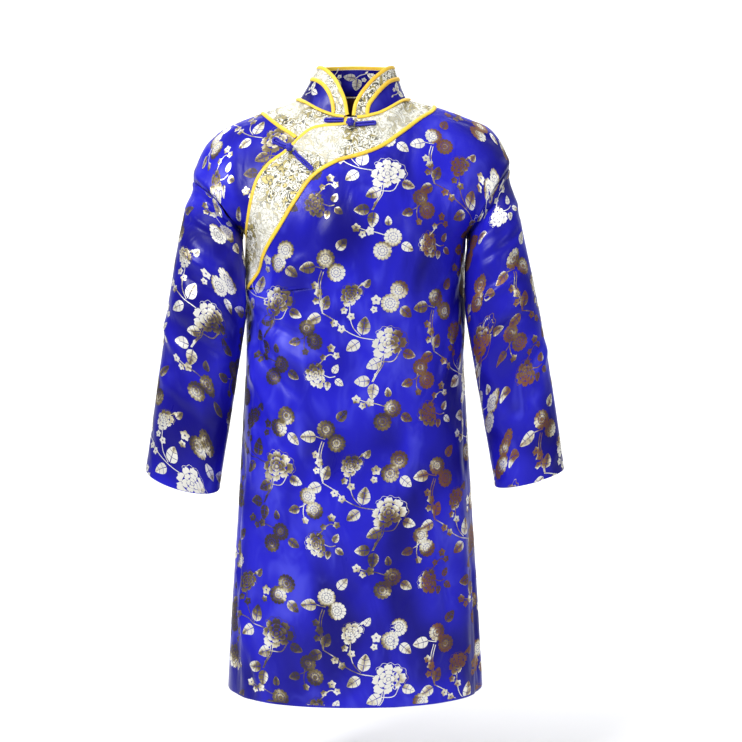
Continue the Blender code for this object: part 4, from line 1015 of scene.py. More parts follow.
def petal_ring(
    count: int,
    near: float,
    far: float,
    gap: float,
    wave: float,
    start: float,
    notch: float,
    tones: tuple[float, float],
) -> Motif:
    """A ring of petals.

    The far line of each is the root of 1 - |t|^2.6, with waves, for t from -1 to 1.

    Args:
        count: How many petals.
        near: The ring's inner radius, in millimetres.
        far: Its outer radius.
        gap: The bare line between two petals.
        wave: How much each far line waves.
        start: The first petal's angle.
        notch: The share of the petal's length that the far line falls between two petals.
        tones: How dark the foil is painted at the near line and at the far line, as painted shade across each
            petal.

    Returns:
        The ring.
    """
    t = np.linspace(-1, 1, 9)
    half = math.pi / count
    made = []
    for k in range(count):
        middle = start + 2 * half * k
        rise = 1 - notch + notch * (1 - np.abs(t) ** 2.6) ** 0.5
        outline = near + (far - near) * rise * (1 + wave * np.cos(5 * math.pi * t + k))
        side = t * (half - gap / (2 * np.maximum(outline, near)))
        inner = t * (half - gap / (2 * near))
        made.append(ribbon(polar(np.full(9, near), middle + inner), polar(outline, middle + side), tones))
    return joined(made)


def disc(radius: float, sides: int) -> Motif:
    """A filled round spot."""
    t = np.linspace(0, math.pi, sides // 2 + 1)
    return ribbon(polar(np.full(len(t), radius), t), polar(np.full(len(t), radius), -t))


def daisy(radius: float) -> Motif:
    """A scalloped ring of narrow petals round a bright ring and a spot, painted dark at its rim and pale on
    the ring as painted shade and highlight.
    """
    return joined([
        petal_ring(13, 0.53 * radius, radius, 0.30, 0.0, 0.0, 0.30, (0.05, 0.85)),
        petal_ring(10, 0.25 * radius, 0.50 * radius, 0.30, 0.0, 0.2, 0.22, (-0.5, 0.30)),
        disc(0.22 * radius, 10),
    ])


def peony(radius: float) -> Motif:
    """Three uneven rings of broad waved petals, shaded at their feet, outlined round one side."""
    t = np.linspace(-0.4, 2.5, 26)
    wavy = radius * (1.02 + 0.050 * np.cos(4.2 * t * math.pi))
    made = joined([
        petal_ring(8, 0.60 * radius, 0.94 * radius, 0.5, 0.13, 0.0, 0.62, (0.45, -0.10)),
        petal_ring(6, 0.33 * radius, 0.59 * radius, 0.5, 0.11, 0.5, 0.50, (0.40, -0.20)),
        petal_ring(4, 0.13 * radius, 0.32 * radius, 0.5, 0.08, 0.1, 0.38, (0.5, -0.2)),
        disc(0.11 * radius, 8),
        ribbon(polar(wavy - 0.45, t), polar(wavy + 0.45, t), (0.5, 0.5)),
    ])
    angle = np.arctan2(made.points[:, 1], made.points[:, 0])
    uneven = 1.0 + 0.13 * np.sin(2 * angle + 0.6) + 0.08 * np.sin(3 * angle + 1.9)
    return Motif(made.points * uneven[:, None], made.faces, made.tone)


def leaf(length: float, width: float) -> Motif:
    """A leaf along +X: two halves of three blades each, parted by its veins."""
    made = []
    for hand in (-1, 1):
        for start, end in ((0.0, 0.31), (0.335, 0.62), (0.645, 1.0)):
            s = np.linspace(start, end, 5)
            rib = np.stack([s * length, hand * (0.75 * (1 - s) + 0.10)], axis=-1)
            out = np.clip(s + 0.10 * np.sin(math.pi * s), 0, 1)
            swell = 0.5 * width * np.sin(math.pi * out**0.72) ** 0.72
            margin = np.stack([out * length, hand * np.maximum(swell, 0.1)], axis=-1)
            # The foil is painted darker along the rib than at the margin: painted shade.
            made.append(ribbon(rib * 1e-3, margin * 1e-3, (0.65, -0.20)))
    return joined(made)


def star(radius: float) -> Motif:
    """Five pointed petals round a bare middle."""
    t = np.linspace(0, 1, 5)
    half_width = 0.40 * radius * np.sin(math.pi * t**0.8) ** 0.8
    blade = np.stack([mix(0.12, 1.0, t) * radius, half_width], axis=-1) * 1e-3
    one = ribbon(blade * [1, -1], blade)
    return joined([moved(one, turn=72 * k + 18) for k in range(5)])


def stem(*places: tuple[float, float]) -> Motif:
    """A line of foil on the smooth curve through places in millimetres."""
    width = 1.7
    path = evenly_through(np.array(places) * 1e-3, 4 * len(places) + 1)
    along = unit(np.gradient(path, axis=0))
    beside = np.stack([-along[:, 1], along[:, 0]], axis=-1) * width * 0.5e-3
    return ribbon(path - beside, path + beside)


def bud(length: float = 9.0) -> Motif:
    """A closed bud on its stalk, along +X."""
    t = np.linspace(0, 1, 6)
    shape = np.stack([t * length, 0.24 * length * np.sin(math.pi * t**0.8)], axis=-1) * 1e-3
    return ribbon(shape * [1, -1], shape)


class Placed(NamedTuple):
    """A motif of the repeat: what, where in millimetres, at what angle, how large, and how much darker its
    foil is painted.
    """

    kind: str
    x: float
    y: float
    turn: float
    size: float
    tone: float


REPEAT = tuple(Placed(*row) for row in (
    ("daisy", -8, 13, 10, 1.0, 0.1), ("daisy", 12, -13, 40, 1.0, 0.2), ("leaf", -28, -2, 190, 1.0, 0.1),
    ("leaf", 14, 30, 48, 0.85, 0.3), ("star", -29, -38, 0, 1.0, 0.4), ("star", -22, -52, 30, 1.1, 0.4),
    ("star", -27, -68, 15, 0.9, 0.4), ("leaf", -18, -96, 205, 0.95, 0.3),
    ("leaf", -14, -84, 68, 0.9, 0.5), ("star", 8, -110, 10, 1.0, 0.2), ("star", 22, -121, 40, 1.0, 0.2),
    ("leaf", 62, -132, 80, 1.1, 0.0), ("leaf", 56, -145, 215, 0.95, 0.0),
    ("peony", 112, -148, 0, 1.0, 0.15), ("leaf", 140, -166, -20, 0.85, 0.5),
    ("leaf", 98, -182, 205, 1.0, 0.1), ("leaf", 76, -220, 185, 0.95, 0.0),
    ("leaf", 84, -226, 262, 0.95, 0.0), ("bud", 88, -205, 250, 1.1, 0.1),
    ("peony", 40, -56, 20, 0.66, 0.3), ("bud", 58, -40, 50, 1.2, 0.2), ("leaf", 66, -42, 55, 0.6, 0.2),
    ("star", 27, -86, 0, 0.9, 0.2), ("star", 40, -97, 25, 1.0, 0.2), ("daisy", 133, -46, 0, 1.0, 0.2),
    ("daisy", 115, -72, 30, 1.02, 0.1), ("leaf", 136, -80, -42, 0.9, 0.3),
    ("star", 88, -66, 0, 1.25, 0.0), ("star", 84, -84, 20, 0.9, 0.0), ("peony", -28, -212, 70, 0.7, 0.5),
    ("leaf", 6, -206, 62, 0.6, 0.1), ("leaf", 10, -218, -38, 0.6, 0.1),
    ("leaf", -4, -222, 262, 0.55, 0.3), ("star", 2, -158, 0, 1.05, 0.4), ("star", 12, -172, 30, 0.9, 0.4),
    ("star", -14, -176, 10, 0.8, 0.5), ("star", 50, -256, 0, 1.1, 0.0), ("star", 62, -268, 30, 0.9, 0.0),
    ("star", 76, -262, 15, 1.1, 0.0), ("daisy", 120, -274, 20, 0.97, 0.2),
    ("daisy", 100, -299, 50, 1.0, 0.1), ("leaf", 112, -252, 95, 0.6, 0.2),
    ("leaf", 137, -286, -30, 0.8, 0.4), ("daisy", 176, -196, 20, 0.9, 0.6),
    ("daisy", 190, -222, 50, 0.95, 0.6), ("leaf", 160, -222, 200, 0.75, 0.6),
    ("star", 172, -244, 0, 0.9, 0.6),
))
STALKS = (
    ((-16, -10), (-22, -30), (-20, -60), (-16, -88)), ((-12, -12), (-18, -34), (-17, -62), (-14, -90)),
    ((-10, -6), (-20, -4), (-28, -2)), ((-16, -90), (10, -106), (30, -124), (54, -136), (84, -142)),
    ((38, -72), (38, -95), (44, -118), (58, -134)), ((100, -174), (96, -192), (88, -206), (80, -222)),
    ((104, -172), (101, -190), (92, -204), (82, -222)), ((134, -164), (122, -182), (98, -184)),
    ((-12, -210), (0, -214), (10, -212)), ((16, -176), (0, -170), (-18, -186), (-26, -194)),
    ((46, -252), (66, -260), (86, -264), (106, -270)), ((170, -208), (168, -232), (174, -250)),
    ((160, -220), (168, -216), (176, -208)), ((52, -44), (60, -36), (70, -30)),
)
# The flat place of one tile's origin on each printed piece.
PRINT_AT = {
    "lap_front": (-0.051, -0.379),
    "right_front": (-0.051, -0.379),
    "back": (0.035, -0.20),
    "right_sleeve": (0.020, -0.10),
    "left_sleeve": (-0.060, -0.18),
}


@dataclass(frozen=True)
class FoilPrint:
    """The repeat of foil flowers: a tile of motifs, each column of tiles lower than the last."""

    width: float = 0.221
    height: float = 0.327
    drop: float = 0.076
    shading: float = 0.75
    shade_step: float = 2.4
    lift: float = 0.00040

    def tile(self) -> Motif:
        """One tile, from its table of motifs and its stalks."""
        kinds = {
            "daisy": daisy(18.0),
            "peony": peony(33.0),
            "leaf": leaf(32.0, 23.0),
            "star": star(8.4),
            "bud": bud(),
        }
        shown = []
        for place, m in enumerate(REPEAT):
            made = moved(kinds[m.kind], m.x, m.y, m.turn, m.size, m.tone)
            away = made.points - made.points.mean(axis=0)
            toward = self.shade_step * place
            slant = away @ np.array([math.cos(toward), math.sin(toward)]) / np.abs(away).max()
            shown.append(Motif(made.points, made.faces, made.tone + self.shading * slant))
        return joined(shown + [moved(stem(*places), tone=0.25) for places in STALKS])

    def over(self, low: Array, high: Array, shift: Array) -> Motif:
        """The tiles that cover a flat rectangle.

        Args:
            low: The rectangle's lowest corner.
            high: Its highest corner.
            shift: The place of one tile's origin.

        Returns:
            All of the motifs, as one.
        """
        tile = self.tile()
        made = []
        first, last = (low[0] - shift[0]) / self.width, (high[0] - shift[0]) / self.width
        for i in range(math.floor(first) - 1, math.ceil(last) + 1):
            rows = range(
                math.floor((low[1] - shift[1] + i * self.drop) / self.height) - 1,
                math.ceil((high[1] - shift[1] + i * self.drop) / self.height) + 2,
            )
            for j in rows:
                at = shift + np.array([i * self.width, j * self.height - i * self.drop])
                made.append(Motif(tile.points + at, tile.faces, tile.tone))
        return joined(made)

    def print_on(
        self, name: str, cloth: FlatMap, limits: Callable, place: Callable, material: bpy.types.Material
    ) -> bpy.types.Object:
        """Lays the print on a piece, cut at its edges.

        Args:
            name: The piece's name.
            cloth: The flat map of the piece.
            limits: The lowest and highest first number at each second number, and the second's ends.
            place: Points on the cloth, moved out, at the two numbers.
            material: The foil.

        Returns:
            The print as one object of thin sheet.
        """
        low = np.array([cloth.across.min(), cloth.up.min()])
        high = np.array([cloth.across.max(), cloth.up.max()])
        flat = self.over(low, high, np.array(PRINT_AT[name]))
        a, b = cloth.find(flat.points)
        bottom, top = limits(None)
        b_in = np.clip(b, bottom, top)
        start, end = limits(b_in)
        inside = (a >= start) & (a <= end) & (b >= bottom) & (b <= top)
        kept = flat.faces[inside[flat.faces].any(axis=1)]
        used, faces = np.unique(kept, return_inverse=True)
        points = place(np.clip(a, start, end)[used], b_in[used])
        faces = faces.reshape(-1, 3)
        corners = points[faces]
        along, beside = corners[:, 1] - corners[:, 0], corners[:, 2] - corners[:, 0]
        area = np.linalg.norm(np.cross(along, beside), axis=-1)
        faces = faces[area > 2e-9]
        builder = MeshBuilder()
        builder.add_points(points, flat.tone[used])
        builder.add_faces(faces, flat.points[used][faces])
        made = builder.build(f"{name}_foil", material)
        LOG.info("%s: %d triangles of foil", made.name, len(faces))
        return made


# Finishes.


class Value:
    """A socket of a node tree. Python's operators on it add Math nodes."""

    def __init__(self, shader: "Shader", socket: bpy.types.NodeSocket) -> None:
        """Keeps the socket and the tree that it belongs to."""
        self.shader, self.socket = shader, socket

    def math(self, operation: str, first: "Value | float", second: "Value | float" = 0.0) -> "Value":
        """One Math node."""
        return self.shader.node("ShaderNodeMath", {"operation": operation}, {0: first, 1: second})

    def __add__(self, other: "Value | float") -> "Value":
        """Sum."""
        return self.math("ADD", self, other)

    def __radd__(self, other: float) -> "Value":
        """Sum, from the right."""
        return self.math("ADD", other, self)

    def __sub__(self, other: "Value | float") -> "Value":
        """Difference."""
        return self.math("SUBTRACT", self, other)

    def __rsub__(self, other: float) -> "Value":
        """Difference, from the right."""
        return self.math("SUBTRACT", other, self)

    def __mul__(self, other: "Value | float") -> "Value":
        """Product."""
        return self.math("MULTIPLY", self, other)

    def abs(self) -> "Value":
        """The size without its sign."""
        return self.math("ABSOLUTE", self)

    def fract(self) -> "Value":
        """What is left over whole numbers."""
        return self.math("FRACT", self)

    def sine(self) -> "Value":
        """The sine of an angle in radians."""
        return self.math("SINE", self)

    def over(self, low: float, high: float) -> "Value":
        """0 below the low number, 1 above the high one, smooth between; the other way if they are swapped."""
        ends = {1: min(low, high), 2: max(low, high), 3: float(low >= high), 4: float(low < high)}
        settings = {"interpolation_type": "SMOOTHSTEP"}
        return self.shader.node("ShaderNodeMapRange", settings, {0: self, **ends})


class Shader:
    """One material and the nodes in it."""

    def __init__(self, name: str) -> None:
        """Starts with the material's own Principled shader."""
        self.material = bpy.data.materials.new(name)
        self.material.use_nodes = True
        self.tree = self.material.node_tree
        self.principled = self.tree.nodes["Principled BSDF"]

    def node(
        self, kind: str, settings: dict | None = None, sockets: dict | None = None, output: int | str = 0
    ) -> Value:
        """Adds a node.

        Args:
            kind: The node's type.
            settings: Its settings, made before its sockets; stops are those of a colour ramp.
            sockets: The value or link of each input.
            output: The output wanted.

        Returns:
            That output.
        """
        made = self.tree.nodes.new(kind)
        for key, value in (settings or {}).items():
            if key != "stops":
                setattr(made, key, value)
                continue
            ramp = made.color_ramp
            while len(ramp.elements) < len(value):
                ramp.elements.new(0.5)
            for element, (place, colour) in zip(ramp.elements, value):
                element.position, element.color = place, (*colour, 1.0)
        for key, value in (sockets or {}).items():
            self.join(made.inputs[key], value)
        return Value(self, made.outputs[output])

    def join(self, socket: bpy.types.NodeSocket, value: object) -> None:
        """Links a value to a socket, or sets the number or colour on it."""
        if isinstance(value, Value):
            self.tree.links.new(value.socket, socket)
        else:
            socket.default_value = value

    def blend(self, share: Value | float, first: object, second: object) -> Value:
        """The first colour where share is 0, the second where it is 1."""
        first, second = ((*c, 1.0) if isinstance(c, tuple) else c for c in (first, second))
        return self.node("ShaderNodeMix", {"data_type": "RGBA"}, {0: share, 6: first, 7: second}, 2)

    def ramp(self, value: Value, *stops: tuple) -> Value:
        """A colour ramp with those stops."""
        return self.node("ShaderNodeValToRGB", {"stops": stops}, {0: value})

    def place(
        self, scale: tuple = (1.0, 1.0, 1.0), turn: tuple = (0.0, 0.0, 0.0), cloth: bool = False
    ) -> Value:
        """Object coordinates, or the piece's own UV map in metres, turned and scaled."""
        if cloth:
            found = self.node("ShaderNodeUVMap", {"uv_map": "cloth"})
        else:
            found = self.node("ShaderNodeTexCoord", output="Object")
        return self.node("ShaderNodeMapping", None, {"Vector": found, "Rotation": turn, "Scale": scale})

    def noise(
        self, where: Value, scale: float, detail: float = 2.0, rough: float = 0.5, twist: float = 0.0
    ) -> Value:
        """Noise from 0 to 1."""
        values = {"Vector": where, "Scale": scale, "Detail": detail, "Roughness": rough, "Distortion": twist}
        return self.node("ShaderNodeTexNoise", None, values)

    def parts(self, where: Value) -> tuple[Value, Value, Value]:
        """The three numbers of a place."""
        split = self.node("ShaderNodeSeparateXYZ", None, {0: where})
        return tuple(Value(self, split.socket.node.outputs[k]) for k in range(3))

    def bump(
        self, height: Value, distance: float, strength: float = 1.0, below: Value | None = None
    ) -> Value:
        """A bump whose height is worth a distance in metres, over another one."""
        values = {"Strength": strength, "Distance": distance, "Height": height}
        if below is not None:
            values["Normal"] = below
        return self.node("ShaderNodeBump", None, values)

    def finish(self, **sockets: object) -> bpy.types.Material:
        """Joins the Principled shader's inputs, with _ for a space in a name."""
        for key, value in sockets.items():
            value = (*value, 1.0) if isinstance(value, tuple) and len(value) == 3 else value
            self.join(self.principled.inputs[key.replace("_", " ")], value)
        return self.material


@dataclass(frozen=True)
class Satin:
    """Royal blue satin with broad soft puckers and a fine warp: deep blue painted as shade towards its sides
    and in the puckers' troughs, paler blue painted as highlights on their crests.
    """

    # The deep blue serves as painted shade, and the palest blue as painted highlight.
    deep: tuple = (0.0050, 0.0026, 0.185)
    plain: tuple = (0.0175, 0.0155, 0.56)
    painted_light: tuple = (0.120, 0.130, 0.84)
    puckers: float = 0.015
    roughness: float = 0.34

    def make(self, name: str) -> bpy.types.Material:
        """The material."""
        s = Shader(name)
        here = s.place()
        hanging = s.place((1.0, 1.0, 0.55), (0.0, 0.42, 0.0))
        broad = s.noise(here, 3.6, 2.0)
        soft = s.noise(hanging, 8.0, 2.0, 0.45, 0.6)
        small = s.noise(hanging, 22.0, 2.0, 0.5, 0.8)
        fine = s.noise(here, 85.0, 2.0)
        across, along, _ = s.parts(s.place(cloth=True))
        warp = (across * 5200.0).sine() * 0.5 + (along * 1700.0 + across * 1700.0).sine() * 0.5
        # Painted shade: deep blue towards the sides, by x, and where the soft pucker bump is low, mixed with
        # broad noise.
        side, _, _ = s.parts(here)
        shaded = side.abs().over(0.16, 0.25) * 0.11
        tint = (soft * 0.80 + broad * 0.70 - 0.25 - shaded).over(0.22, 0.58)
        colour = s.blend(tint, self.deep, self.plain)
        # Painted highlight: pale blue where the puckers rise, less of it towards the sides.
        clouds = (small * 0.50 + soft * 0.35 + broad * 0.45 - shaded * 0.6).over(0.62, 0.84)
        colour = s.blend(clouds * 0.40, colour, self.painted_light)
        shape = s.bump(soft, self.puckers)
        shape = s.bump(small, self.puckers * 0.20, 1.0, shape)
        shape = s.bump(fine, self.puckers * 0.010, 1.0, shape)
        shape = s.bump(warp, 0.00003, 0.8, shape)
        gloss = self.roughness + (small - 0.5) * 0.20 + (broad - 0.5) * 0.16
        return s.finish(Base_Color=colour, Roughness=gloss, Normal=shape, Specular_IOR_Level=0.20)


# The collar's satin is stretched tight, so it looks darker and glossier than the body's.
TIGHT_SATIN = Satin(
    deep=(0.0035, 0.0014, 0.090), plain=(0.0090, 0.0060, 0.27), painted_light=(0.10, 0.11, 0.72), roughness=0.24
)


@dataclass(frozen=True)
class Foil:
    """Pressed foil, its colour painted pale, olive gold, brown and copper as painted reflections and shade,
    laid out by noise, by the motifs' tone and by place across the robe.
    """

    # From pale to brown these colours paint the foil's reflection from lit to shaded; copper paints a darker
    # reflection towards +X.
    pale: tuple = (0.95, 0.93, 0.86)
    champagne: tuple = (0.74, 0.68, 0.50)
    olive: tuple = (0.215, 0.165, 0.070)
    brown: tuple = (0.050, 0.034, 0.042)
    copper: tuple = (0.30, 0.095, 0.045)

    def make(self, name: str) -> bpy.types.Material:
        """The material."""
        s = Shader(name)
        here = s.place()
        patches = s.noise(here, 6.5, 1.5, 0.5, 0.3).over(0.38, 0.64)
        clouds = s.noise(here, 34.0, 2.0, 0.5, 0.3).over(0.32, 0.68)
        specks = s.noise(here, 190.0, 2.0)
        crackle = s.noise(s.place((1.0, 1.0, 2.2)), 420.0, 1.0)
        tone = s.node("ShaderNodeAttribute", {"attribute_name": "tone"}, None, "Fac")
        side, _, _ = s.parts(here)
        # Painted shade: darker in bands by x, from about 0.07 m to 0.25 m out from the middle.
        painted_side_shade = (side - 0.015).abs().over(0.07, 0.18) * side.abs().over(0.25, 0.23)
        # How dark the foil is painted, as painted reflection and shade: noise patches, the motifs' tone, the
        # side bands and specks.
        painted_light = patches * 0.50 + clouds * 0.26 + tone * 0.26 + painted_side_shade * 0.20 + (specks - 0.5) * 0.28
        stops = ((0.32, self.pale), (0.45, self.champagne), (0.60, self.olive), (0.83, self.brown))
        colour = s.ramp(painted_light, *stops)
        blots = s.noise(s.place((1.0, 1.0, 1.0), (0.3, 0.1, 0.6)), 8.0, 1.5, 0.5, 0.3).over(0.40, 0.60)
        # Painted reflection: copper towards +X, where the foil is painted darker.
        painted_copper_side = side.over(0.02, 0.16) * painted_light.over(0.38, 0.60) * (0.15 + clouds * 0.45 + blots * 0.40)
        colour = s.blend(painted_copper_side * 0.68, colour, self.copper)
        shape = s.bump(crackle, 0.00025, 0.7)
        shape = s.bump(specks, 0.0010, 0.7, shape)
        gloss = 0.34 + specks * 0.20 + painted_light * 0.10
        metal = 0.80 - painted_light.over(0.3, 0.9) * 0.35
        return s.finish(Base_Color=colour, Roughness=gloss, Metallic=metal, Normal=shape)


@dataclass(frozen=True)
class Brocade:
    """Figured brocade: a cream ground under small curling scrolls in olive, close and dark in places."""

    cream: tuple = (0.91, 0.90, 0.82)
    shade: tuple = (0.66, 0.65, 0.53)
    gold: tuple = (0.40, 0.33, 0.11)
    olive: tuple = (0.030, 0.029, 0.010)
    scroll: float = 62.0

    def make(self, name: str) -> bpy.types.Material:
        """The material."""
        s = Shader(name)
        here = s.place()
        bend = s.noise(here, self.scroll, 0.6, 0.4, 1.2)
        other = s.noise(s.place((1.0, 1.0, 1.0), (0.7, 0.4, 0.9)), self.scroll * 0.8, 0.5, 0.4, 1.6)
        rings = ((bend * 5.5).fract() - 0.5).abs()
        curls = ((other * 5.0 + 0.3).fract() - 0.5).abs()
        lines = rings.over(0.19, 0.07)
        stems = curls.over(0.15, 0.06)
        leaves = other.over(0.56, 0.60) * rings.over(0.12, 0.20)
        close = s.noise(here, 13.0, 1.5, 0.5, 0.4).over(0.38, 0.55)
        across, along, _ = s.parts(s.place(cloth=True))
        threads = (across * 3600.0).sine() * 0.5 + (along * 3600.0).sine() * 0.5
        mottle = s.noise(here, 90.0, 2.0)
        ground = s.blend(mottle.over(0.35, 0.75) * 0.5, self.cream, self.shade)
        colour = s.blend(leaves * (0.45 + close * 0.55), ground, self.gold)
        colour = s.blend(stems * (0.40 + close * 0.60), colour, self.gold)
        colour = s.blend(lines * (0.42 + close * 0.56), colour, self.olive)
        raised = lines * 0.8 + leaves * 0.7 + stems * 0.5
        shape = s.bump(raised, 0.0005, 0.7)
        shape = s.bump(threads, 0.00006, 0.7, shape)
        shape = s.bump(s.noise(here, 40.0, 2.0), 0.0022, 0.7, shape)
        metal = (leaves + stems * 0.5) * 0.25
        return s.finish(Base_Color=colour, Roughness=0.50 - leaves * 0.1, Metallic=metal, Normal=shape)


@dataclass(frozen=True)
class YellowSatin:
    """Bias-cut yellow satin over a cord: a slanting twill, small puckers, and stitches near its edge."""

    bright: tuple = (0.95, 0.66, 0.045)
    painted_shade_orange: tuple = (0.87, 0.42, 0.018)

    def make(self, name: str) -> bpy.types.Material:
        """The material."""
        s = Shader(name)
        here = s.place()
        around, run, _ = s.parts(s.place(cloth=True))
        twill = (run * 5200.0 + around * 40.0).sine()
        stitch = ((run * 420.0).fract() - 0.5).abs().over(0.32, 0.44) * (around - 0.5).abs().over(0.28, 0.34)
        pucker = s.noise(here, 130.0, 2.0)
        patches = s.noise(here, 11.0, 2.0)
        # Painted shade: orange in patches, set by noise and the puckers, and in the stitch dents.
        colour = s.blend((patches * 0.9 + pucker * 0.35).over(0.58, 0.86) * 0.75, self.bright, self.painted_shade_orange)
        colour = s.blend(stitch * 0.35, colour, self.painted_shade_orange)
        shape = s.bump(pucker, 0.0011, 0.8)
        shape = s.bump(twill, 0.00004, 0.8, shape)
        shape = s.bump(1.0 - stitch, 0.00035, 0.6, shape)
        return s.finish(Base_Color=colour, Roughness=0.36 + pucker * 0.14, Normal=shape, Sheen_Weight=0.1)


@dataclass(frozen=True)
class Cord:
    """Blue satin cord, twisted, with a fine speckle, its colour painted darker in the twist's grooves and the
    speckle's dips as painted shade.
    """

    deep: tuple = (0.010, 0.007, 0.30)
    plain: tuple = (0.028, 0.022, 0.60)

    def make(self, name: str) -> bpy.types.Material:
        """The material."""
        s = Shader(name)
        around, run, _ = s.parts(s.place(cloth=True))
        twist = (run * 2400.0 + around * 12.566).sine()
        speckle = s.noise(s.place(), 240.0, 2.0)
        # Painted shade: the deep blue falls where the twist and the speckle's bumps are low.
        colour = s.blend((twist * 0.3 + speckle).over(0.25, 0.85), self.deep, self.plain)
        shape = s.bump(twist, 0.00022, 0.9)
        gloss = 0.34 + speckle * 0.16
        return s.finish(Base_Color=colour, Roughness=gloss, Normal=s.bump(speckle, 0.0003, 0.6, shape))


@dataclass(frozen=True)
class Lining:
    """Dark maroon lining of plain weave."""

    deep: tuple = (0.030, 0.004, 0.008)
    plain: tuple = (0.085, 0.012, 0.020)

    def make(self, name: str) -> bpy.types.Material:
        """The material."""
        s = Shader(name)
        across, along, _ = s.parts(s.place(cloth=True))
        weave = (across * 4200.0).sine() * (along * 4200.0).sine()
        soft = s.noise(s.place((1.0, 1.0, 0.5)), 24.0, 3.0)
        # Painted shade: the deep maroon falls where the soft bump is low.
        colour = s.blend(soft.over(0.3, 0.7), self.deep, self.plain)
        shape = s.bump(soft, 0.004, 0.8)
        shape = s.bump(weave, 0.00006, 0.7, shape)
        return s.finish(Base_Color=colour, Roughness=0.62 + soft * 0.15, Normal=shape, Sheen_Weight=0.2)


@dataclass(frozen=True)
class PalePaper:
    """The studio's pale floor, with a breath of mottling."""

    pale: tuple = (0.90, 0.90, 0.90)
    greyer: tuple = (0.86, 0.86, 0.865)

    def make(self, name: str) -> bpy.types.Material:
        """The material."""
        s = Shader(name)
        colour = s.blend(s.noise(s.place(), 3.0, 3.0), self.greyer, self.pale)
        return s.finish(Base_Color=colour, Roughness=0.85)


@dataclass
class Finishes:
    """Every finish of the robe, made once."""

    satin: bpy.types.Material = field(default_factory=lambda: Satin().make("blue_satin"))
    tight_satin: bpy.types.Material = field(default_factory=lambda: TIGHT_SATIN.make("tight_satin"))
    foil: bpy.types.Material = field(default_factory=lambda: Foil().make("flower_foil"))
    brocade: bpy.types.Material = field(default_factory=lambda: Brocade().make("figured_brocade"))
    yellow: bpy.types.Material = field(default_factory=lambda: YellowSatin().make("yellow_binding"))
    cord: bpy.types.Material = field(default_factory=lambda: Cord().make("button_cord"))
    lining: bpy.types.Material = field(default_factory=lambda: Lining().make("maroon_lining"))
    paper: bpy.types.Material = field(default_factory=lambda: PalePaper().make("pale_paper"))


# The robe's pieces.

PIPING_WIDTH, PIPING_HEIGHT = 0.0080, 0.0024
# How far over the cloth each piping's foot lies.
PIPING_GAPS = {
    "lap_band_piping": 0.0009,
    "right_yoke_piping": 0.0006,
    "back_yoke_piping": 0.0018,
    "collar_band_piping": 0.0006,
    "neck_piping": 0.0026,
}
# The neck piping's middle lies this far out from the collar's foot.
PIPING_FROM_COLLAR = 0.0056
# The binding's section: shares of the way out from the wall's edge, and of the wall's thickness
# below its face or of the binding's own above it.
BINDING = (
    (0.0, -0.78), (0.45, -0.80), (0.8, -0.76), (0.95, -0.60), (1.0, -0.35), (0.95, -0.05), (0.80, 0.30),
    (0.5, 0.75), (0.2, 0.85), (0.0, 0.35),
)


@dataclass
class Cloth:
    """A finished stretch of the body: its grid of points, and the directions of its thickness."""

    points: Array
    outward: Array


def columns_between(
    starts: Array, ends: Array, level: Array, columns: int, neck_marks: Sequence = ()
) -> Array:
    """Turns on a grid: even columns, which near the neck gather so that some meet its marks.

    Args:
        starts: The first turn of each row.
        ends: The last turn of each row.
        level: The level of each row.
        columns: How many steps there are.
        neck_marks: Pairs of a column and the turn that it has along the top edge.

    Returns:
        Rows of turns.
    """
    share = np.linspace(0.0, 1.0, columns + 1)
    even = starts[:, None] + (ends - starts)[:, None] * share
    marks = [(0, starts[-1]), *neck_marks, (columns, ends[-1])]
    gathered = np.interp(np.arange(columns + 1), [m[0] for m in marks], [m[1] for m in marks])
    return mix(even, gathered, near_top(level)[:, None])


def add_piping(name: str, path: Array, outward: Array, finish: bpy.types.Material) -> bpy.types.Object:
    """A yellow trim along a path: flat against the cloth, and half an ellipse above.

    Args:
        name: The piece's name.
        path: Points on the cloth.
        outward: The cloth's directions there.
        finish: The trim's material.

    Returns:
        The trim.
    """
    around = np.linspace(0.0, math.pi, 9)
    dome = np.stack([PIPING_WIDTH / 2 * np.cos(around), PIPING_HEIGHT * np.sin(around) ** 0.8], axis=-1)
    builder = MeshBuilder()
    swept(builder, path + outward * PIPING_GAPS[name], outward, dome)
    return dressed(builder, name, Finish.YELLOW, finish)


def add_binding(
    name: str, edge: Array, outward: Array, thickness: float, hand: float, finish: bpy.types.Material
) -> bpy.types.Object:
    """A folded binding beside the edge of a wall, on one hand of the way that the edge runs.

    Args:
        name: The piece's name.
        edge: Points along the wall's outer edge.
        outward: The wall's directions there.
        thickness: The wall's thickness.
        hand: 1 or -1.
        finish: The binding's material.

    Returns:
        The binding.
    """
    near, far, over = 0.0003, 0.0073, 0.0009
    share, rise = np.array(BINDING).T
    rise = np.where(rise < 0, rise * thickness, rise * over)
    builder = MeshBuilder()
    swept(builder, edge, outward, np.stack([hand * mix(near, far, share), rise], axis=-1))
    return dressed(builder, name, Finish.YELLOW, finish)


def dressed(
    builder: MeshBuilder, name: str, finish: Finish, *materials: bpy.types.Material
) -> bpy.types.Object:
    """Builds a piece, names it after the CAD node that it stands for and hides that node, and reports it.

    Args:
        builder: The piece's mesh.
        name: The node.
        finish: Its finish, which says whether its name ends in cloth or trim.
        materials: What it is made of: the outside, then the inside.

    Returns:
        The piece.
    """
    piece = builder.build(name, *materials)
    piece.name = f"{name}_{'cloth' if finish in (Finish.SATIN, Finish.BROCADE) else 'trim'}"
    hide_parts(name)
    LOG.info("%s: %d faces", piece.name, len(piece.data.polygons))
    return piece


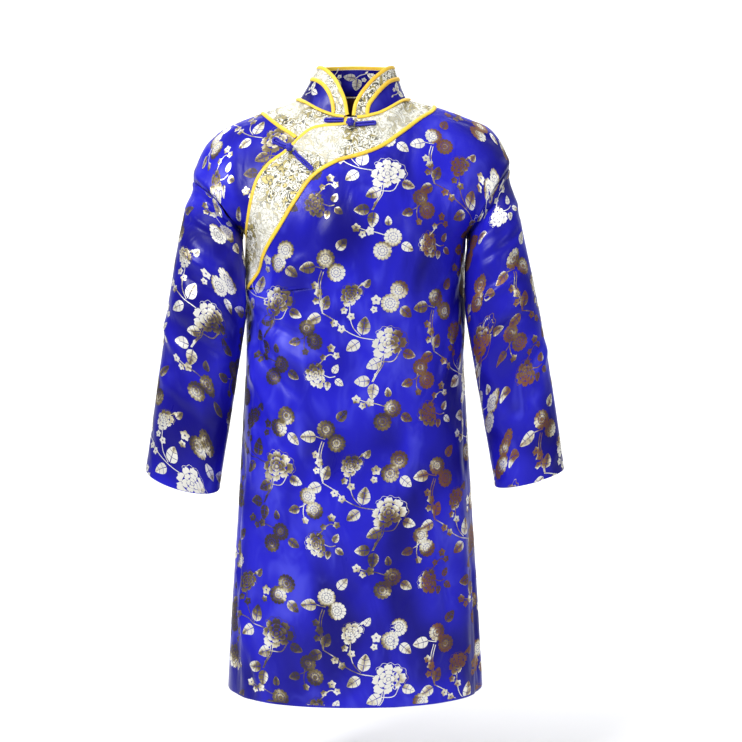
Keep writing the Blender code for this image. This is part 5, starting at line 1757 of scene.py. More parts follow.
@dataclass
class BodyPieces:
    """The fronts and the back: satin, brocade, and the yellow trims over their seams."""

    body: Body
    finishes: Finishes
    lap_columns: int = 148
    band_columns: int = 36
    shown_columns: int = 38
    hidden_columns: int = 8
    yoke_columns: int = 26
    back_columns: int = 64
    beside_yoke: tuple[int, int] = (30, 34)
    back_rows: int = 73
    back_yoke_rows: int = 22
    under_reach: float = math.radians(11)
    band_tip: float = math.radians(1.2)
    yoke_tip: float = math.radians(1.5)
    yoke_end: float = math.radians(3.4)

    def __post_init__(self) -> None:
        """Works out the rows that the pieces share."""
        self.rows = self.body.rows(above=84, at_neck=20, below=168)
        self.cloths: dict[str, Cloth] = {}

    def cloth(self, name: str, turn: Array, level: Array, back: bool, lift: Array | float = 0.0) -> Cloth:
        """A piece's grid on the body's surface, kept by name."""
        self.cloths[name] = Cloth(*self.body.placed(turn, level, back, lift))
        return self.cloths[name]

    def wall(self, name: str, cloth: Cloth, finish: Finish, back: bool, hem: bool) -> bpy.types.Object:
        """A piece of cloth as a closed wall, with a rounded hem where it reaches down to it."""
        builder = MeshBuilder()
        rounded = 0 if hem else None
        add_wall(builder, cloth.points, cloth.outward, self.body.wall, back, False, rounded)
        shown = self.finishes.satin if finish is Finish.SATIN else self.finishes.brocade
        return dressed(builder, name, finish, shown, self.finishes.lining)

    def lay_out_fronts(self) -> int:
        """The grids of the lap, its brocade, the right front and its brocade; gives the band's first row."""
        rows, body = self.rows, self.body
        in_trim = rows.lap_trim - rows.edge > self.band_tip
        tip = int(np.argmax(in_trim))
        at = slice(tip, None)
        shift = np.zeros(rows.level.shape)
        shift[at] = body.seam_shift(rows.level[at], rows.lap_trim[at])
        starts = np.where(in_trim, rows.lap_trim + shift, rows.edge)
        ends = np.full(rows.level.shape, QUARTER - body.seam_turn)
        level, edge = rows.level[:, None], rows.edge[:, None]
        turn = columns_between(starts, ends, rows.level, self.lap_columns)
        self.lap_limits = (starts, ends)
        self.cloth("lap_front", turn, level, False, body.lift_of_lap(turn, level, edge))

        neck = ((2 * self.band_columns // 3, body.neck_turn),)
        ends = rows.lap_trim - shift
        turn = columns_between(rows.edge[at], ends[at], rows.level[at], self.band_columns, neck)
        self.cloth("lap_band", turn, level[at], False, body.lift_of_lap(turn, level[at], edge[at]))

        reach = rows.edge + self.under_reach
        shift = body.seam_shift(rows.level, rows.shoulder_trim)
        ends = np.minimum(rows.shoulder_trim - shift, reach)
        start = (rows.side + body.seam_turn)[:, None]
        last_shown = np.minimum(rows.edge, ends - 0.02)[:, None]
        shown = start + (last_shown - start) * np.linspace(0, 1, self.shown_columns + 1)
        share = np.linspace(0, 1, self.hidden_columns + 1)[1:]
        hidden = shown[:, -1:] + (ends[:, None] - shown[:, -1:]) * share
        turn = np.concatenate([shown, hidden], axis=1)
        self.right_limits = (start[:, 0], ends)
        self.cloth("right_front", turn, level, False, -body.under_drop(turn, level, edge))

        first = int(np.argmax(reach - rows.shoulder_trim > self.yoke_tip))
        at = slice(first, None)
        start = (rows.shoulder_trim + shift)[at, None]
        side = np.maximum(-body.neck_turn, start[:, 0] + 0.3 * (reach[at] - start[:, 0]))[:, None]
        middle = np.minimum(side, mix(start, reach[at, None], 0.5))
        half = self.yoke_columns // 2
        near = mix(start, middle, np.linspace(0, 1, half + 1))
        turn = np.concatenate([near, mix(middle, reach[at, None], np.linspace(0, 1, half + 1)[1:])], axis=1)
        low = level[at].copy()
        low[0] += 0.0012
        self.cloth("right_yoke", turn, low, False, -body.under_drop(turn, low, edge[at]))
        self.yoke_shown = rows.shoulder_trim[first:] < rows.edge[first:] - self.yoke_end
        return tip

    def build_fronts(self) -> dict[str, bpy.types.Object]:
        """Builds the fronts.

        Returns:
            Each piece by its name.
        """
        tip = self.lay_out_fronts()
        made, yellow = {}, self.finishes.yellow
        for name, finish, hem in (
            ("lap_front", Finish.SATIN, True),
            ("lap_band", Finish.BROCADE, False),
            ("right_front", Finish.SATIN, True),
            ("right_yoke", Finish.BROCADE, False),
        ):
            made[name] = self.wall(name, self.cloths[name], finish, False, hem)
        lap, band, yoke = (self.cloths[name] for name in ("lap_front", "lap_band", "right_yoke"))
        points, outward = band.points[:, -1], band.outward[:, -1]
        made["lap_band_piping"] = add_piping("lap_band_piping", points, outward, yellow)
        points = np.concatenate([lap.points[:tip, 0], band.points[:, 0]])
        outward = np.concatenate([lap.outward[:tip, 0], band.outward[:, 0]])
        made["lap_edge"] = add_binding("lap_edge", points, outward, self.body.wall, -1.0, yellow)
        points, outward = yoke.points[self.yoke_shown, 0], yoke.outward[self.yoke_shown, 0]
        made["right_yoke_piping"] = add_piping("right_yoke_piping", points, outward, yellow)
        return made

    def build_back(self) -> dict[str, bpy.types.Object]:
        """Builds the back in satin up to its yoke, the yoke in brocade, and the trim between them.

        Returns:
            Each piece by its name.
        """
        body, rows, inset = self.body, self.rows, self.body.seam_turn
        path_turn, path_level = body.front_at(evenly_through(BACK_TRIM, 80), back=True)
        tall = path_level < body.top_level - 0.012
        first, last = path_turn[tall][0], path_turn[tall][-1]
        yoke_turn = mix(first, last, np.linspace(0, 1, self.back_columns + 1))
        for mark in (-body.neck_turn, body.neck_turn):
            yoke_turn[np.abs(yoke_turn - mark).argmin()] = mark
        right, left = (np.linspace(0, 1, columns) for columns in self.beside_yoke)
        right = mix(-QUARTER + inset, first - 0.002, right)
        left = mix(last + 0.002, QUARTER - inset, left)
        top_turn = np.concatenate([right, yoke_turn, left])
        in_yoke = slice(len(right), len(right) + len(yoke_turn))
        line = np.full(len(top_turn), body.top_level)
        line[in_yoke] = np.minimum(np.interp(yoke_turn, path_turn, path_level), body.top_level - 0.01)

        low = rows.level[rows.level < 1e-6]
        share = np.linspace(0, 1, self.back_rows + 1)[1:]
        low_starts = -math.pi - body.under_side_turn(low) + inset
        even = columns_between(low_starts, np.full(low.shape, QUARTER - inset), low * 0.0, len(top_turn) - 1)
        upper = mix(even[-1], top_turn, smooth_step(share * 1.15)[:, None])
        slope = np.gradient(line[in_yoke], yoke_turn) * BACK_REACH / BODY_REACH
        gap = 0.6 * body.seam / BACK_REACH * np.sqrt(1.0 + slope**2)
        lowered = line.copy()
        lowered[in_yoke] -= gap
        turn = np.concatenate([even, upper])
        level = np.concatenate([np.repeat(low[:, None], len(top_turn), axis=1), share[:, None] * lowered])
        satin = self.cloth("back", turn, level, True)
        self.back_limits = (low, low_starts, float(QUARTER - inset), top_turn, lowered)
        made = {"back": self.wall("back", satin, Finish.SATIN, True, True)}
        share = np.linspace(0, 1, self.back_yoke_rows)[:, None]
        level = mix(line[in_yoke] + gap, np.full(yoke_turn.shape, body.top_level), share)
        yoke = self.cloth("back_yoke", yoke_turn[None], level, True)
        made["back_yoke"] = self.wall("back_yoke", yoke, Finish.BROCADE, True, False)
        points, outward, yellow = satin.points[-1, in_yoke], satin.outward[-1, in_yoke], self.finishes.yellow
        made["back_yoke_piping"] = add_piping("back_yoke_piping", points, outward, yellow)
        return made

    def print_foil(self) -> dict[str, bpy.types.Object]:
        """Lays the foil flowers on the lap, the right front and the back.

        Returns:
            Each print by the name of the piece that it is on.
        """
        body, rows, foil = self.body, self.rows, FoilPrint()
        made = {}
        levels = np.linspace(rows.level[0], rows.level[-1], 240)
        turns = np.linspace(-1.85, QUARTER, 200)
        front = FlatMap(lambda a, b: body.surface(a, b, False)[0], turns, levels)
        bottom, top = rows.level[0] + 0.012, rows.level[-1]
        for name, (starts, ends), lift in (
            ("lap_front", self.lap_limits, body.lift_of_lap),
            ("right_front", self.right_limits, lambda a, b, e: -body.under_drop(a, b, e)),
        ):

            def limits(level: Array | None, starts: Array = starts, ends: Array = ends) -> tuple:
                """The piece's ends at levels, or its lowest and highest level."""
                if level is None:
                    return bottom, top
                return np.interp(level, rows.level, starts), np.interp(level, rows.level, ends)

            def place(turn: Array, level: Array, lift: Callable = lift) -> Array:
                """Points just over the piece."""
                up = lift(turn, level, np.interp(level, rows.level, rows.edge)) + foil.lift
                return body.placed(turn, level, False, up)[0]

            made[name] = foil.print_on(name, front, limits, place, self.finishes.foil)
        low, low_starts, side, top_turn, top_level = self.back_limits
        turns = np.linspace(-QUARTER, QUARTER, 190)
        rear = FlatMap(lambda a, b: body.surface(-a, b, True)[0], turns, levels)

        def back_limits(level: Array | None) -> tuple:
            """The back's ends at levels, as seen from behind."""
            if level is None:
                return bottom, top
            return np.full(level.shape, -side), -np.interp(level, low, low_starts)

        def back_place(turn: Array, level: Array) -> Array:
            """Points just over the back, held below its yoke."""
            level = np.minimum(level, np.interp(-turn, top_turn, top_level))
            return body.placed(-turn, level, True, foil.lift)[0]

        made["back"] = foil.print_on("back", rear, back_limits, back_place, self.finishes.foil)
        return made


# How much lower each cuff hangs at its front than at its middle.
CUFF_DROOP = {Side.RIGHT: 0.014, Side.LEFT: 0.003}


@dataclass
class Sleeve:
    """A sleeve: a tube that starts on the armhole and turns into an oval tube over three sections."""

    side: Side
    body: Body
    finishes: Finishes
    rows: int = 168
    columns: int = 112
    clearance: float = 0.0034
    push_reach: float = 0.035
    push_knots: int = 21
    hollow: float = 0.0105
    hollow_at: float = 0.42
    hollow_width: float = 0.38
    leaves_over: float = 2.6
    start: float = 0.0005

    @property
    def name(self) -> str:
        """The sleeve's node."""
        return "right_sleeve" if self.side is Side.RIGHT else "left_sleeve"

    @property
    def sections(self) -> int:
        """How many sections its table has."""
        return len(SLEEVES[self.side])

    def armhole(self, around: Array) -> Array:
        """The body's edge at the sleeve: over the front from the shoulder to the armpit, and back."""
        turn = np.full(around.shape, self.side.value * QUARTER)
        front, _ = self.body.surface(turn, np.clip(1.0 - around / math.pi, 0, 1), False)
        rear, _ = self.body.surface(turn, np.clip(around / math.pi - 1.0, 0, 1), True)
        return np.where((around <= math.pi)[..., None], front, rear)

    def tube(self, run: Array, around: Array) -> Array:
        """An oval through the table's section at a run: cos across it, sin times its depths."""
        table = through(np.arange(self.sections), np.array(SLEEVES[self.side]), run)
        outer, outer_height, inner, inner_height, middle, front, back = np.moveaxis(table, -1, 0)
        across = np.cos(around)
        depth = np.where(np.sin(around) >= 0, front, back) * np.sin(around)
        x = self.side.value * ((outer + inner) / 2 + (outer - inner) / 2 * across)
        z = (outer_height + inner_height) / 2 + (outer_height - inner_height) / 2 * across
        cuff = smooth_step((run - self.sections + 3) / 2)
        droop = CUFF_DROOP[self.side] * cuff * np.sin(around)
        return np.stack([x, middle - depth, z - droop], axis=-1)

    def base(self, run: Array, around: Array) -> Array:
        """The tube, brought onto the armhole where it starts."""
        run, around = together(run, around)
        around = around % (2 * math.pi)
        away = self.armhole(around) - self.tube(np.zeros(run.shape), around)
        return self.tube(run, around) + away * (1.0 - smooth_step(run / self.leaves_over))[..., None]

    def body_side(self) -> tuple[Array, Array]:
        """Points and normals on the body beside the sleeve, over its armpit and below its arm."""
        turns = np.radians(np.linspace(48, 90, 43)) * self.side.value
        found = []
        for back in (False, True):
            turn, level = np.meshgrid(turns, np.linspace(-0.9, 0.22, 110))
            points, normals = self.body.surface(turn, level, back)
            lift = self.body.lap_lift if self.side is Side.RIGHT else 0.0
            found.append((points + normals * lift, normals))
        return in_one(found)

    def creased(self, run: Array, around: Array, fine: bool) -> tuple[Array, Array]:
        """The sleeve's surface with its creases and the hollow below its seam, and its normals."""
        base = self.base(run, around)
        normal = normals_of(self.base, np.clip(run, 2e-3, None), around) * -self.side.value
        around = around % (2 * math.pi)
        across = SLEEVE_REACH * np.where(around > math.pi, around - 2 * math.pi, around)
        rise = creased(across, base[..., 2], SLEEVE_CREASES[self.side])
        if fine:
            rise = rise + creased(across, base[..., 2], FINE_SLEEVE_CREASES[self.side])
        inner_side = smooth_step((np.abs(across) - 0.15) / 0.06)
        hollow = self.hollow * np.exp(-(((run - self.hollow_at) / self.hollow_width) ** 2))
        hollow = hollow * smooth_step(run / 0.3)
        hollow = hollow * (1.0 - 0.9 * inner_side) * (0.35 + 0.65 * np.abs(np.sin(around)))
        rise = rise * smooth_step((run - 0.5) / 1.2) * (1.0 - inner_side) - hollow
        return base + normal * rise[..., None], normal

    def push(self, run: Array, around: Array) -> Array:
        """How far the body's side pushes the sleeve away, from a coarse grid read smoothly."""
        knots = (self.sections - 1) * np.linspace(0.0, 1.0, self.push_knots) ** 1.15
        angles = np.linspace(0.0, 2 * math.pi, self.push_knots)
        rows, columns = np.meshgrid(knots, angles, indexing="ij")
        points, _ = self.creased(rows, columns, False)
        inner_half = smooth_step((np.minimum(columns, 2 * math.pi - columns) * SLEEVE_REACH - 0.11) / 0.03)
        wanted = np.where(inner_half > 0, self.clearance * inner_half * smooth_step(rows / 0.6), -1.0)
        cloud, normals = self.body_side()
        flat = points.reshape(-1, 3)
        nearest = nearest_in(cloud, flat)
        away = flat - cloud[nearest]
        height = (away * normals[nearest]).sum(-1)
        near = np.linalg.norm(away, axis=-1) < self.push_reach
        amount = np.where(near & (height < wanted.ravel()), wanted.ravel() - height, 0.0)
        pushed = (normals[nearest] * amount[:, None]).reshape(points.shape)
        doubled = np.concatenate([pushed[:, -4:-1], pushed, pushed[:, 1:4]], axis=1)
        wide = np.concatenate([angles[-4:-1] - 2 * math.pi, angles, angles[1:4] + 2 * math.pi])
        along = through(knots, doubled.reshape(len(knots), -1), run.ravel()).reshape(run.size, -1, 3)
        at = around.ravel() % (2 * math.pi)
        cell = np.clip(np.searchsorted(wide, at, side="right") - 1, 0, len(wide) - 2)
        share = smooth_step((at - wide[cell]) / (wide[cell + 1] - wide[cell]))[:, None]
        index = np.arange(len(at))
        return mix(along[index, cell], along[index, cell + 1], share).reshape(run.shape + (3,))

    def surface(self, run: Array, around: Array) -> tuple[Array, Array]:
        """The outer surface, clear of the body, and the direction of its thickness."""
        run, around = together(run, around)
        points, normal = self.creased(run, around, True)
        points = points + self.push(run, around)
        down = unit(self.tube(run + 0.05, around) - self.tube(run, around))
        seam = 1.0 - smooth_step(run / 0.8)
        outward = self.body.armhole_normal(self.base(run, around), self.side)
        beside = np.array([self.side.value * self.start, 0.0, 0.0])
        beside = beside * (1.0 - smooth_step(run / 1.5))[..., None]
        return points + down * 3 * self.body.seam + beside, unit(mix(normal, outward, seam[..., None]))

    def build(self) -> bpy.types.Object:
        """Builds the tube, with a rounded cuff and its lining inside."""
        run = (self.sections - 1) * np.linspace(0.0, 1.0, self.rows + 1) ** 1.08
        around = np.linspace(0.0, 2 * math.pi, self.columns + 1)[:-1]
        run, around = np.meshgrid(run, around, indexing="ij")
        builder = MeshBuilder()
        add_wall(builder, *self.surface(run, around), self.body.wall, self.side is Side.RIGHT, True, -1)
        return dressed(builder, self.name, Finish.SATIN, self.finishes.satin, self.finishes.lining)

    def print_foil(self) -> bpy.types.Object:
        """Lays the foil flowers round the sleeve, whose seam is on its inner side."""
        foil, hand = FoilPrint(), -self.side.value
        heights = np.array([section.outer_height for section in SLEEVES[self.side]])
        down = heights[0] - heights
        angles = np.linspace(-math.pi, math.pi, 120)

        def at_fall(angle: Array, up: Array) -> tuple[Array, Array]:
            """The sleeve at how far its section lies below its first one, as a number below 0."""
            return self.surface(np.interp(-up, down, np.arange(self.sections)), hand * angle)

        def limits(up: Array | None) -> tuple:
            """The sleeve's ends."""
            if up is None:
                return -down[-1] + 0.0008, -0.002
            return np.full(up.shape, -math.pi), np.full(up.shape, math.pi)

        def place(angle: Array, up: Array) -> Array:
            """Points just over the sleeve."""
            points, outward = at_fall(angle, up)
            return points + outward * foil.lift

        flat = FlatMap(lambda a, b: at_fall(a, b)[0], angles, np.linspace(-down[-1], 0.0, 160))
        return foil.print_on(self.name, flat, limits, place, self.finishes.foil)


# The sprays of foil on the collar's satin, outside and inside: degrees round it, share of its height,
# turn in degrees, and size.
SPRAYS = {
    "collar_foil": (
        (62, 0.30, 0, 0.9), (96, 0.28, 150, 0.8), (150, 0.32, 20, 0.9), (-152, 0.30, 200, 0.9),
        (-62, 0.34, 30, 0.8),
    ),
    "collar_inner_foil": (
        (176, 0.66, 205, 1.25), (146, 0.66, 190, 1.1), (-150, 0.64, 250, 1.25), (-128, 0.5, 10, 0.9),
    ),
}


@dataclass
class Collar:
    """The stand collar: a satin band below a brocade one, with yellow on both sides of the brocade."""

    body: Body
    finishes: Finishes
    stations: int = 168
    wall: float = 0.0026
    gap: float = 0.0022
    top_half_width: float = 0.0785
    top_front: float = 0.060
    top_back: float = 0.058
    side_height: float = 0.0585
    front_drop: float = -0.004
    back_rise: float = 0.0070
    height: float = 0.068
    band_drop: float = 0.36
    hollow: float = 0.006
    puckers: float = 0.0008

    def foot(self, around: Array) -> Array:
        """The neck seam all round: 0 at the front, 90 degrees on the left, 180 at the back."""
        turn = self.body.neck_turn
        front = self.body.neck_line(turn * around / QUARTER, False)
        rear = self.body.neck_line(turn * (np.sign(around) * math.pi - around) / QUARTER, True)
        return np.where((np.abs(around) <= QUARTER)[..., None], front, rear)

    def surface(self, around: Array, rise: Array) -> Array:
        """A point at a share of the collar's height: straight from its foot to its top, and hollowed."""
        foot = self.foot(around) + np.array([0.0, 0.0, self.gap])
        forward = np.cos(around)
        depth = np.where(forward > 0, -self.top_front, -self.top_back) * forward
        height = self.side_height + np.where(forward > 0, self.front_drop, self.back_rise) * forward**2
        top = np.stack([self.top_half_width * np.sin(around), depth, height], axis=-1)
        share = rise[..., None]
        out = np.stack([np.sin(around), -forward, 0.0 * around], axis=-1)
        return mix(foot, top, share) - out * self.hollow * share * (1.0 - share)

    def placed(self, around: Array, rise: Array) -> tuple[Array, Array]:
        """Points and outward directions, with soft puckers that die out at the neck seam."""
        around, rise = np.broadcast_arrays(around, rise)
        out = normals_of(self.surface, around, np.clip(rise, 0.0, None))
        soft = self.puckers * np.sin(around * 7.0 + 1.0)
        soft = soft * np.sin(math.pi * np.clip(rise, 0, 1)) * np.cos(rise * 5.0)
        return self.surface(around, rise) + out * soft[..., None], out

    def at(self, positions: Sequence) -> tuple[Array, Array]:
        """Around and rise of the points of the collar's front that show at (x, z) from the front."""
        positions = np.asarray(positions, float)
        around, rise = np.zeros(len(positions)), np.full(len(positions), 0.5)
        for _ in range(60):
            half = mix(self.body.neck_half_width, self.top_half_width, rise)
            aim = np.arcsin(np.clip((positions[:, 0] - mix(self.body.neck_x, 0.0, rise)) / half, -1.0, 1.0))
            around = mix(around, aim, 0.6)
            low = self.surface(around, np.zeros(len(positions)))[:, 2]
            high = self.surface(around, np.ones(len(positions)))[:, 2]
            rise = mix(rise, (positions[:, 1] - low) / (high - low), 0.6)
        return around, rise

    def line(self, table: dict, drop: float) -> tuple[Array, Array]:
        """A line round the collar: up the right front, round the back below the top, down the left."""
        right_around, right_rise = self.at(table[Side.RIGHT])
        left_around, left_rise = self.at(table[Side.LEFT])
        behind = np.radians([-105, -130, -155, -180, -205, -230, -255])
        around = np.concatenate([right_around, behind, left_around[::-1] - 2 * math.pi])
        rise = np.concatenate([right_rise, np.full(7, 1.0 - drop), left_rise[::-1]])
        reach, height = 0.09, 0.085
        metres = evenly_through(np.stack([around * reach, rise * height], axis=-1), self.stations)
        return metres[:, 0] / reach, metres[:, 1] / height

    def build(self) -> dict[str, bpy.types.Object]:
        """Builds both bands, the binding along the top and the trim between the bands.

        Returns:
            Each piece by its name.
        """
        edge_around, edge_rise = self.line(COLLAR_EDGE, 0.0)
        band_around, band_rise = self.line(COLLAR_BAND, self.band_drop)
        seam = self.body.seam / 2 / self.height
        share = np.linspace(0, 1, 15)[:, None]
        around = wrapped(mix(band_around, edge_around, share))
        rise = mix(np.maximum(band_rise, 0.0) + seam, np.maximum(edge_rise, 0.0), share)
        band, out = self.placed(around, rise)
        satin, brocade, yellow = self.finishes.tight_satin, self.finishes.brocade, self.finishes.yellow
        builder = MeshBuilder()
        add_wall(builder, band, out, self.wall, True)
        made = {"collar_band": dressed(builder, "collar_band", Finish.BROCADE, brocade, satin)}
        made["collar_edge"] = add_binding("collar_edge", band[-1], out[-1], self.wall, 1.0, yellow)
        made["collar_band_piping"] = add_piping("collar_band_piping", band[0], out[0], yellow)

        tall = band_rise > 0.06
        chosen = slice(int(np.argmax(tall)), self.stations - int(np.argmax(tall[::-1])))
        share = np.linspace(0, 1, 20)[:, None]
        around = wrapped(np.repeat(band_around[None, chosen], 20, axis=0))
        low, out = self.placed(around, (band_rise[chosen] - seam) * share)
        builder = MeshBuilder()
        add_wall(builder, low, out, self.wall, True)
        made["collar"] = dressed(builder, "collar", Finish.SATIN, satin, satin)
        return made

    def sprays(self) -> tuple[bpy.types.Object, bpy.types.Object]:
        """Foil leaves and buds on the satin band, and on the satin inside the back of the collar."""
        spray = joined([
            moved(leaf(24.0, 16.0), 0, 0, 60),
            moved(leaf(22.0, 15.0), 3, -3, -35),
            moved(star(5.0), -9, 6),
            moved(stem((-16, -4), (-6, -5), (4, -2)), tone=0.2),
            moved(bud(8.0), -16, -4, 200),
        ])
        made = []
        over, reach = 0.0003, 0.088
        for name, places in SPRAYS.items():
            inside = name == "collar_inner_foil"
            builder = MeshBuilder()
            for degrees, rise, turn, size in places:
                one = moved(spray, 0, 0, turn, size)
                around = np.radians(degrees) + one.points[:, 0] * (-1 if inside else 1) / reach
                points, out = self.placed(wrapped(around), rise + one.points[:, 1] / self.height)
                points = points + out * (-(self.wall + over) if inside else over)
                faces = one.faces[:, ::-1] if inside else one.faces
                first = builder.add_points(points, one.tone)[0]
                builder.add_faces(faces + first, one.points[faces])
            made.append(builder.build(name, self.finishes.foil))
        return tuple(made)


def add_neck_piping(body: Body, collar: Collar, finishes: Finishes) -> bpy.types.Object:
    """The yellow trim along the neck seam, laid on the cloth from the closing round to the closing.

    Args:
        body: The body that it lies on.
        collar: The collar whose foot it follows.
        finishes: The robe's finishes.

    Returns:
        The trim.
    """
    closing, clouds = math.radians(-2.2), []
    turns, levels = np.meshgrid(np.radians(np.linspace(-46, 46, 93)), np.linspace(0.80, body.top_level, 60))
    for back in (False, True):
        points, normals = body.surface(turns, levels, back)
        on_lap = (turns > closing) & (not back)
        lift = np.where(on_lap, body.lift_of_lap(turns, levels, closing), 0.0)
        clouds.append((points + normals * lift[..., None], normals))
    cloud, normals = in_one(clouds)
    around = wrapped(np.linspace(math.radians(4), math.radians(351), 44))
    outwards = np.stack([np.sin(around), -np.cos(around), 0.0 * around], axis=-1)
    path = collar.foot(around) + outwards * PIPING_FROM_COLLAR
    for _ in range(3):
        found = nearest_in(cloud, path)
        normal = normals[found]
        path = path - normal * ((path - cloud[found]) * normal).sum(-1, keepdims=True)
    both = evenly_through(np.concatenate([path, path + normal * 0.01], axis=1), 170)
    path, normal = both[:, :3], unit(both[:, 3:] - both[:, :3])
    return add_piping("neck_piping", path, normal, finishes.yellow)


# Each button: its name, its knot and the ends of its right and left bars as (x, z), how far both bars
# and the knot lie over the cloth, and how wide its right bar fans out.
BUTTONS = (
    (
        "neck_button", (-0.0107, -0.0580),
        (((-0.0594, -0.0492), (-0.0240, -0.0492)), ((-0.0010, -0.0605), (0.0376, -0.0570))),
        (0.0003, 0.0005, 0.0002), 0.0,
    ),
    (
        "chest_button", (-0.1250, -0.1052),
        (((-0.1590, -0.0857), (-0.1335, -0.1000)), ((-0.1175, -0.1130), (-0.0821, -0.1475))),
        (0.0005, 0.0012, 0.0007), 1.1,
    ),
)


@dataclass
class KnotButton:
    """A closing of cord: two bars of doubled cord that run to a knotted ball."""

    name: str
    knot: tuple[float, float]
    bars: tuple
    gaps: tuple[float, float, float]
    body: Body
    finishes: Finishes
    radius: float = 0.0024
    ball: float = 0.0090
    proud: tuple[float, float, float] = (0.0, -0.003, -0.002)
    fan: float = 0.0

    def on_front(self, positions: Array, lift: float) -> tuple[Array, Array]:
        """Points and normals on the front at (x, z), moved out by a lift."""
        turn, level = self.body.front_at(positions)
        points, normals = self.body.surface(turn, level, False)
        return points + normals * lift, normals

    def tube(self, builder: MeshBuilder, path: Array, outward: Array, radius: float) -> None:
        """A round cord along a path."""
        around = np.linspace(0, 2 * math.pi, 13)[:-1]
        swept(builder, path, outward, np.stack([np.cos(around), np.sin(around)], axis=-1) * radius)

    def bar(self, part: str, ends: tuple, gap: float, outer_first: bool) -> bpy.types.Object:
        """One bar: a hairpin of cord, its bend at the end that is further from the knot.

        On the right it may fan out towards its bend, with a third cord between its legs.

        Args:
            part: The side of the closing.
            ends: The bar's ends as (x, z).
            gap: How far over the cloth it lies.
            outer_first: Whether the first end is the further one.

        Returns:
            The bar.
        """
        ends = np.array(ends if outer_first else ends[::-1], float)
        along = ends[1] - ends[0]
        length = np.hypot(*along)
        along = along / length
        beside = np.array([-along[1], along[0]])
        r = self.radius
        fan = self.fan if part == "right" else 0.0
        apart, steps = 1.02, 22
        wide = r * (apart + fan)
        bend = np.linspace(-QUARTER, QUARTER, 11)
        loop = np.stack([wide * (1 - np.cos(bend)), wide * np.sin(bend)], axis=-1)
        leg = np.linspace(length, wide * 1.02, steps)
        share = (length - leg) / (length - leg[-1])
        lower = np.stack([leg, -r * (apart + fan * share)], axis=-1)
        path = np.concatenate([lower, loop, lower[::-1] * [1, -1]])
        flat = ends[0] + path[:, :1] * along + path[:, 1:] * beside
        points, normals = self.on_front(flat, gap + r)
        builder = MeshBuilder()
        self.tube(builder, points, normals, r)
        if fan:
            middle = ends[0] + np.linspace(length, wide * 0.95, steps)[:, None] * along
            points, normals = self.on_front(middle, gap + r)
            points = points + normals * (1.5 * r * (1.0 - share))[:, None]
            self.tube(builder, points, normals, r * 0.9)
        return dressed(builder, f"{self.name}_{part}_bar", Finish.CORD, self.finishes.cord)

    def build(self) -> list[bpy.types.Object]:
        """Builds both bars, and the knot as pairs of cord rings, tilted three ways, round a core.

        Returns:
            The three pieces.
        """
        body = self.body
        made = [
            self.bar("right", self.bars[0], self.gaps[0], True),
            self.bar("left", self.bars[1], body.lap_lift + self.gaps[1], False),
        ]
        centre, normal = self.on_front(np.array([self.knot, self.knot]), body.lap_lift)
        centre = centre[0] + normal[0] * (self.gaps[2] + 0.93 * self.ball) + np.array(self.proud)
        core = self.ball - 1.5 * self.radius
        turn = np.linspace(0, 2 * math.pi, 49)
        builder = MeshBuilder()
        for tilt in np.radians([20.0, 80.0, 140.0]):
            axis = np.array([math.sin(tilt), 0.35 * math.cos(3 * tilt), math.cos(tilt)])
            axis = axis / np.linalg.norm(axis)
            first = unit(np.cross(axis, [0.0, 1.0, 0.0]))
            second = np.cross(axis, first)
            for offset in (-1.05, 1.05):
                ring = math.sqrt(core**2 - (offset * self.radius) ** 2) + 0.5 * self.radius
                out = first * np.cos(turn)[:, None] + second * np.sin(turn)[:, None]
                path = centre + out * ring + axis * offset * self.radius
                self.tube(builder, path, unit(out), self.radius * 0.92)
        tilt, around = np.linspace(0.12, math.pi - 0.12, 14), np.linspace(0, 2 * math.pi, 25)[:-1]
        tilt, around = np.meshgrid(tilt, around, indexing="ij")
        ball = [np.sin(tilt) * np.cos(around), np.sin(tilt) * np.sin(around), np.cos(tilt)]
        ball = np.stack(ball, axis=-1)
        index = builder.grid(centre + ball * (core + 0.3 * self.radius), np.zeros((14, 25, 2)), True, False)
        for row in (index[0, -2::-1], index[-1, :-1]):
            builder.add_faces(row[None], None)
        made.append(dressed(builder, f"{self.name}_knot", Finish.CORD, self.finishes.cord))
        return made


# The studio.

# The photo's width in pixels, its middle in pixels from the neck, and the sensor's width in millimetres.
PHOTO_SIZE, AIM, SENSOR = 742, (15, -268), 36.0
CHEST = (0.0, 0.0, -0.5)
# Each light: its name, place, size and power, and the point that it faces.
LIGHTS = (
    ("key", (-1.9, -2.2, 1.5), (0.8, 0.8), 88.0, CHEST),
    ("fill", (1.9, -2.6, 0.4), (0.8, 1.4), 20.0, CHEST),
    ("top", (0.0, -0.9, 2.3), (1.4, 0.7), 22.0, CHEST),
    ("wall_wash", (0.0, 1.0, 1.6), (3.0, 0.8), 90.0, (0.0, 4.0, 0.4)),
    ("floor_wash", (0.0, 0.9, 1.2), (3.0, 0.8), 40.0, (0.0, 2.4, -1.4)),
)
# The colour and strength of the light from all round.
SKY = ((0.95, 0.97, 1.0, 1.0), 0.30)


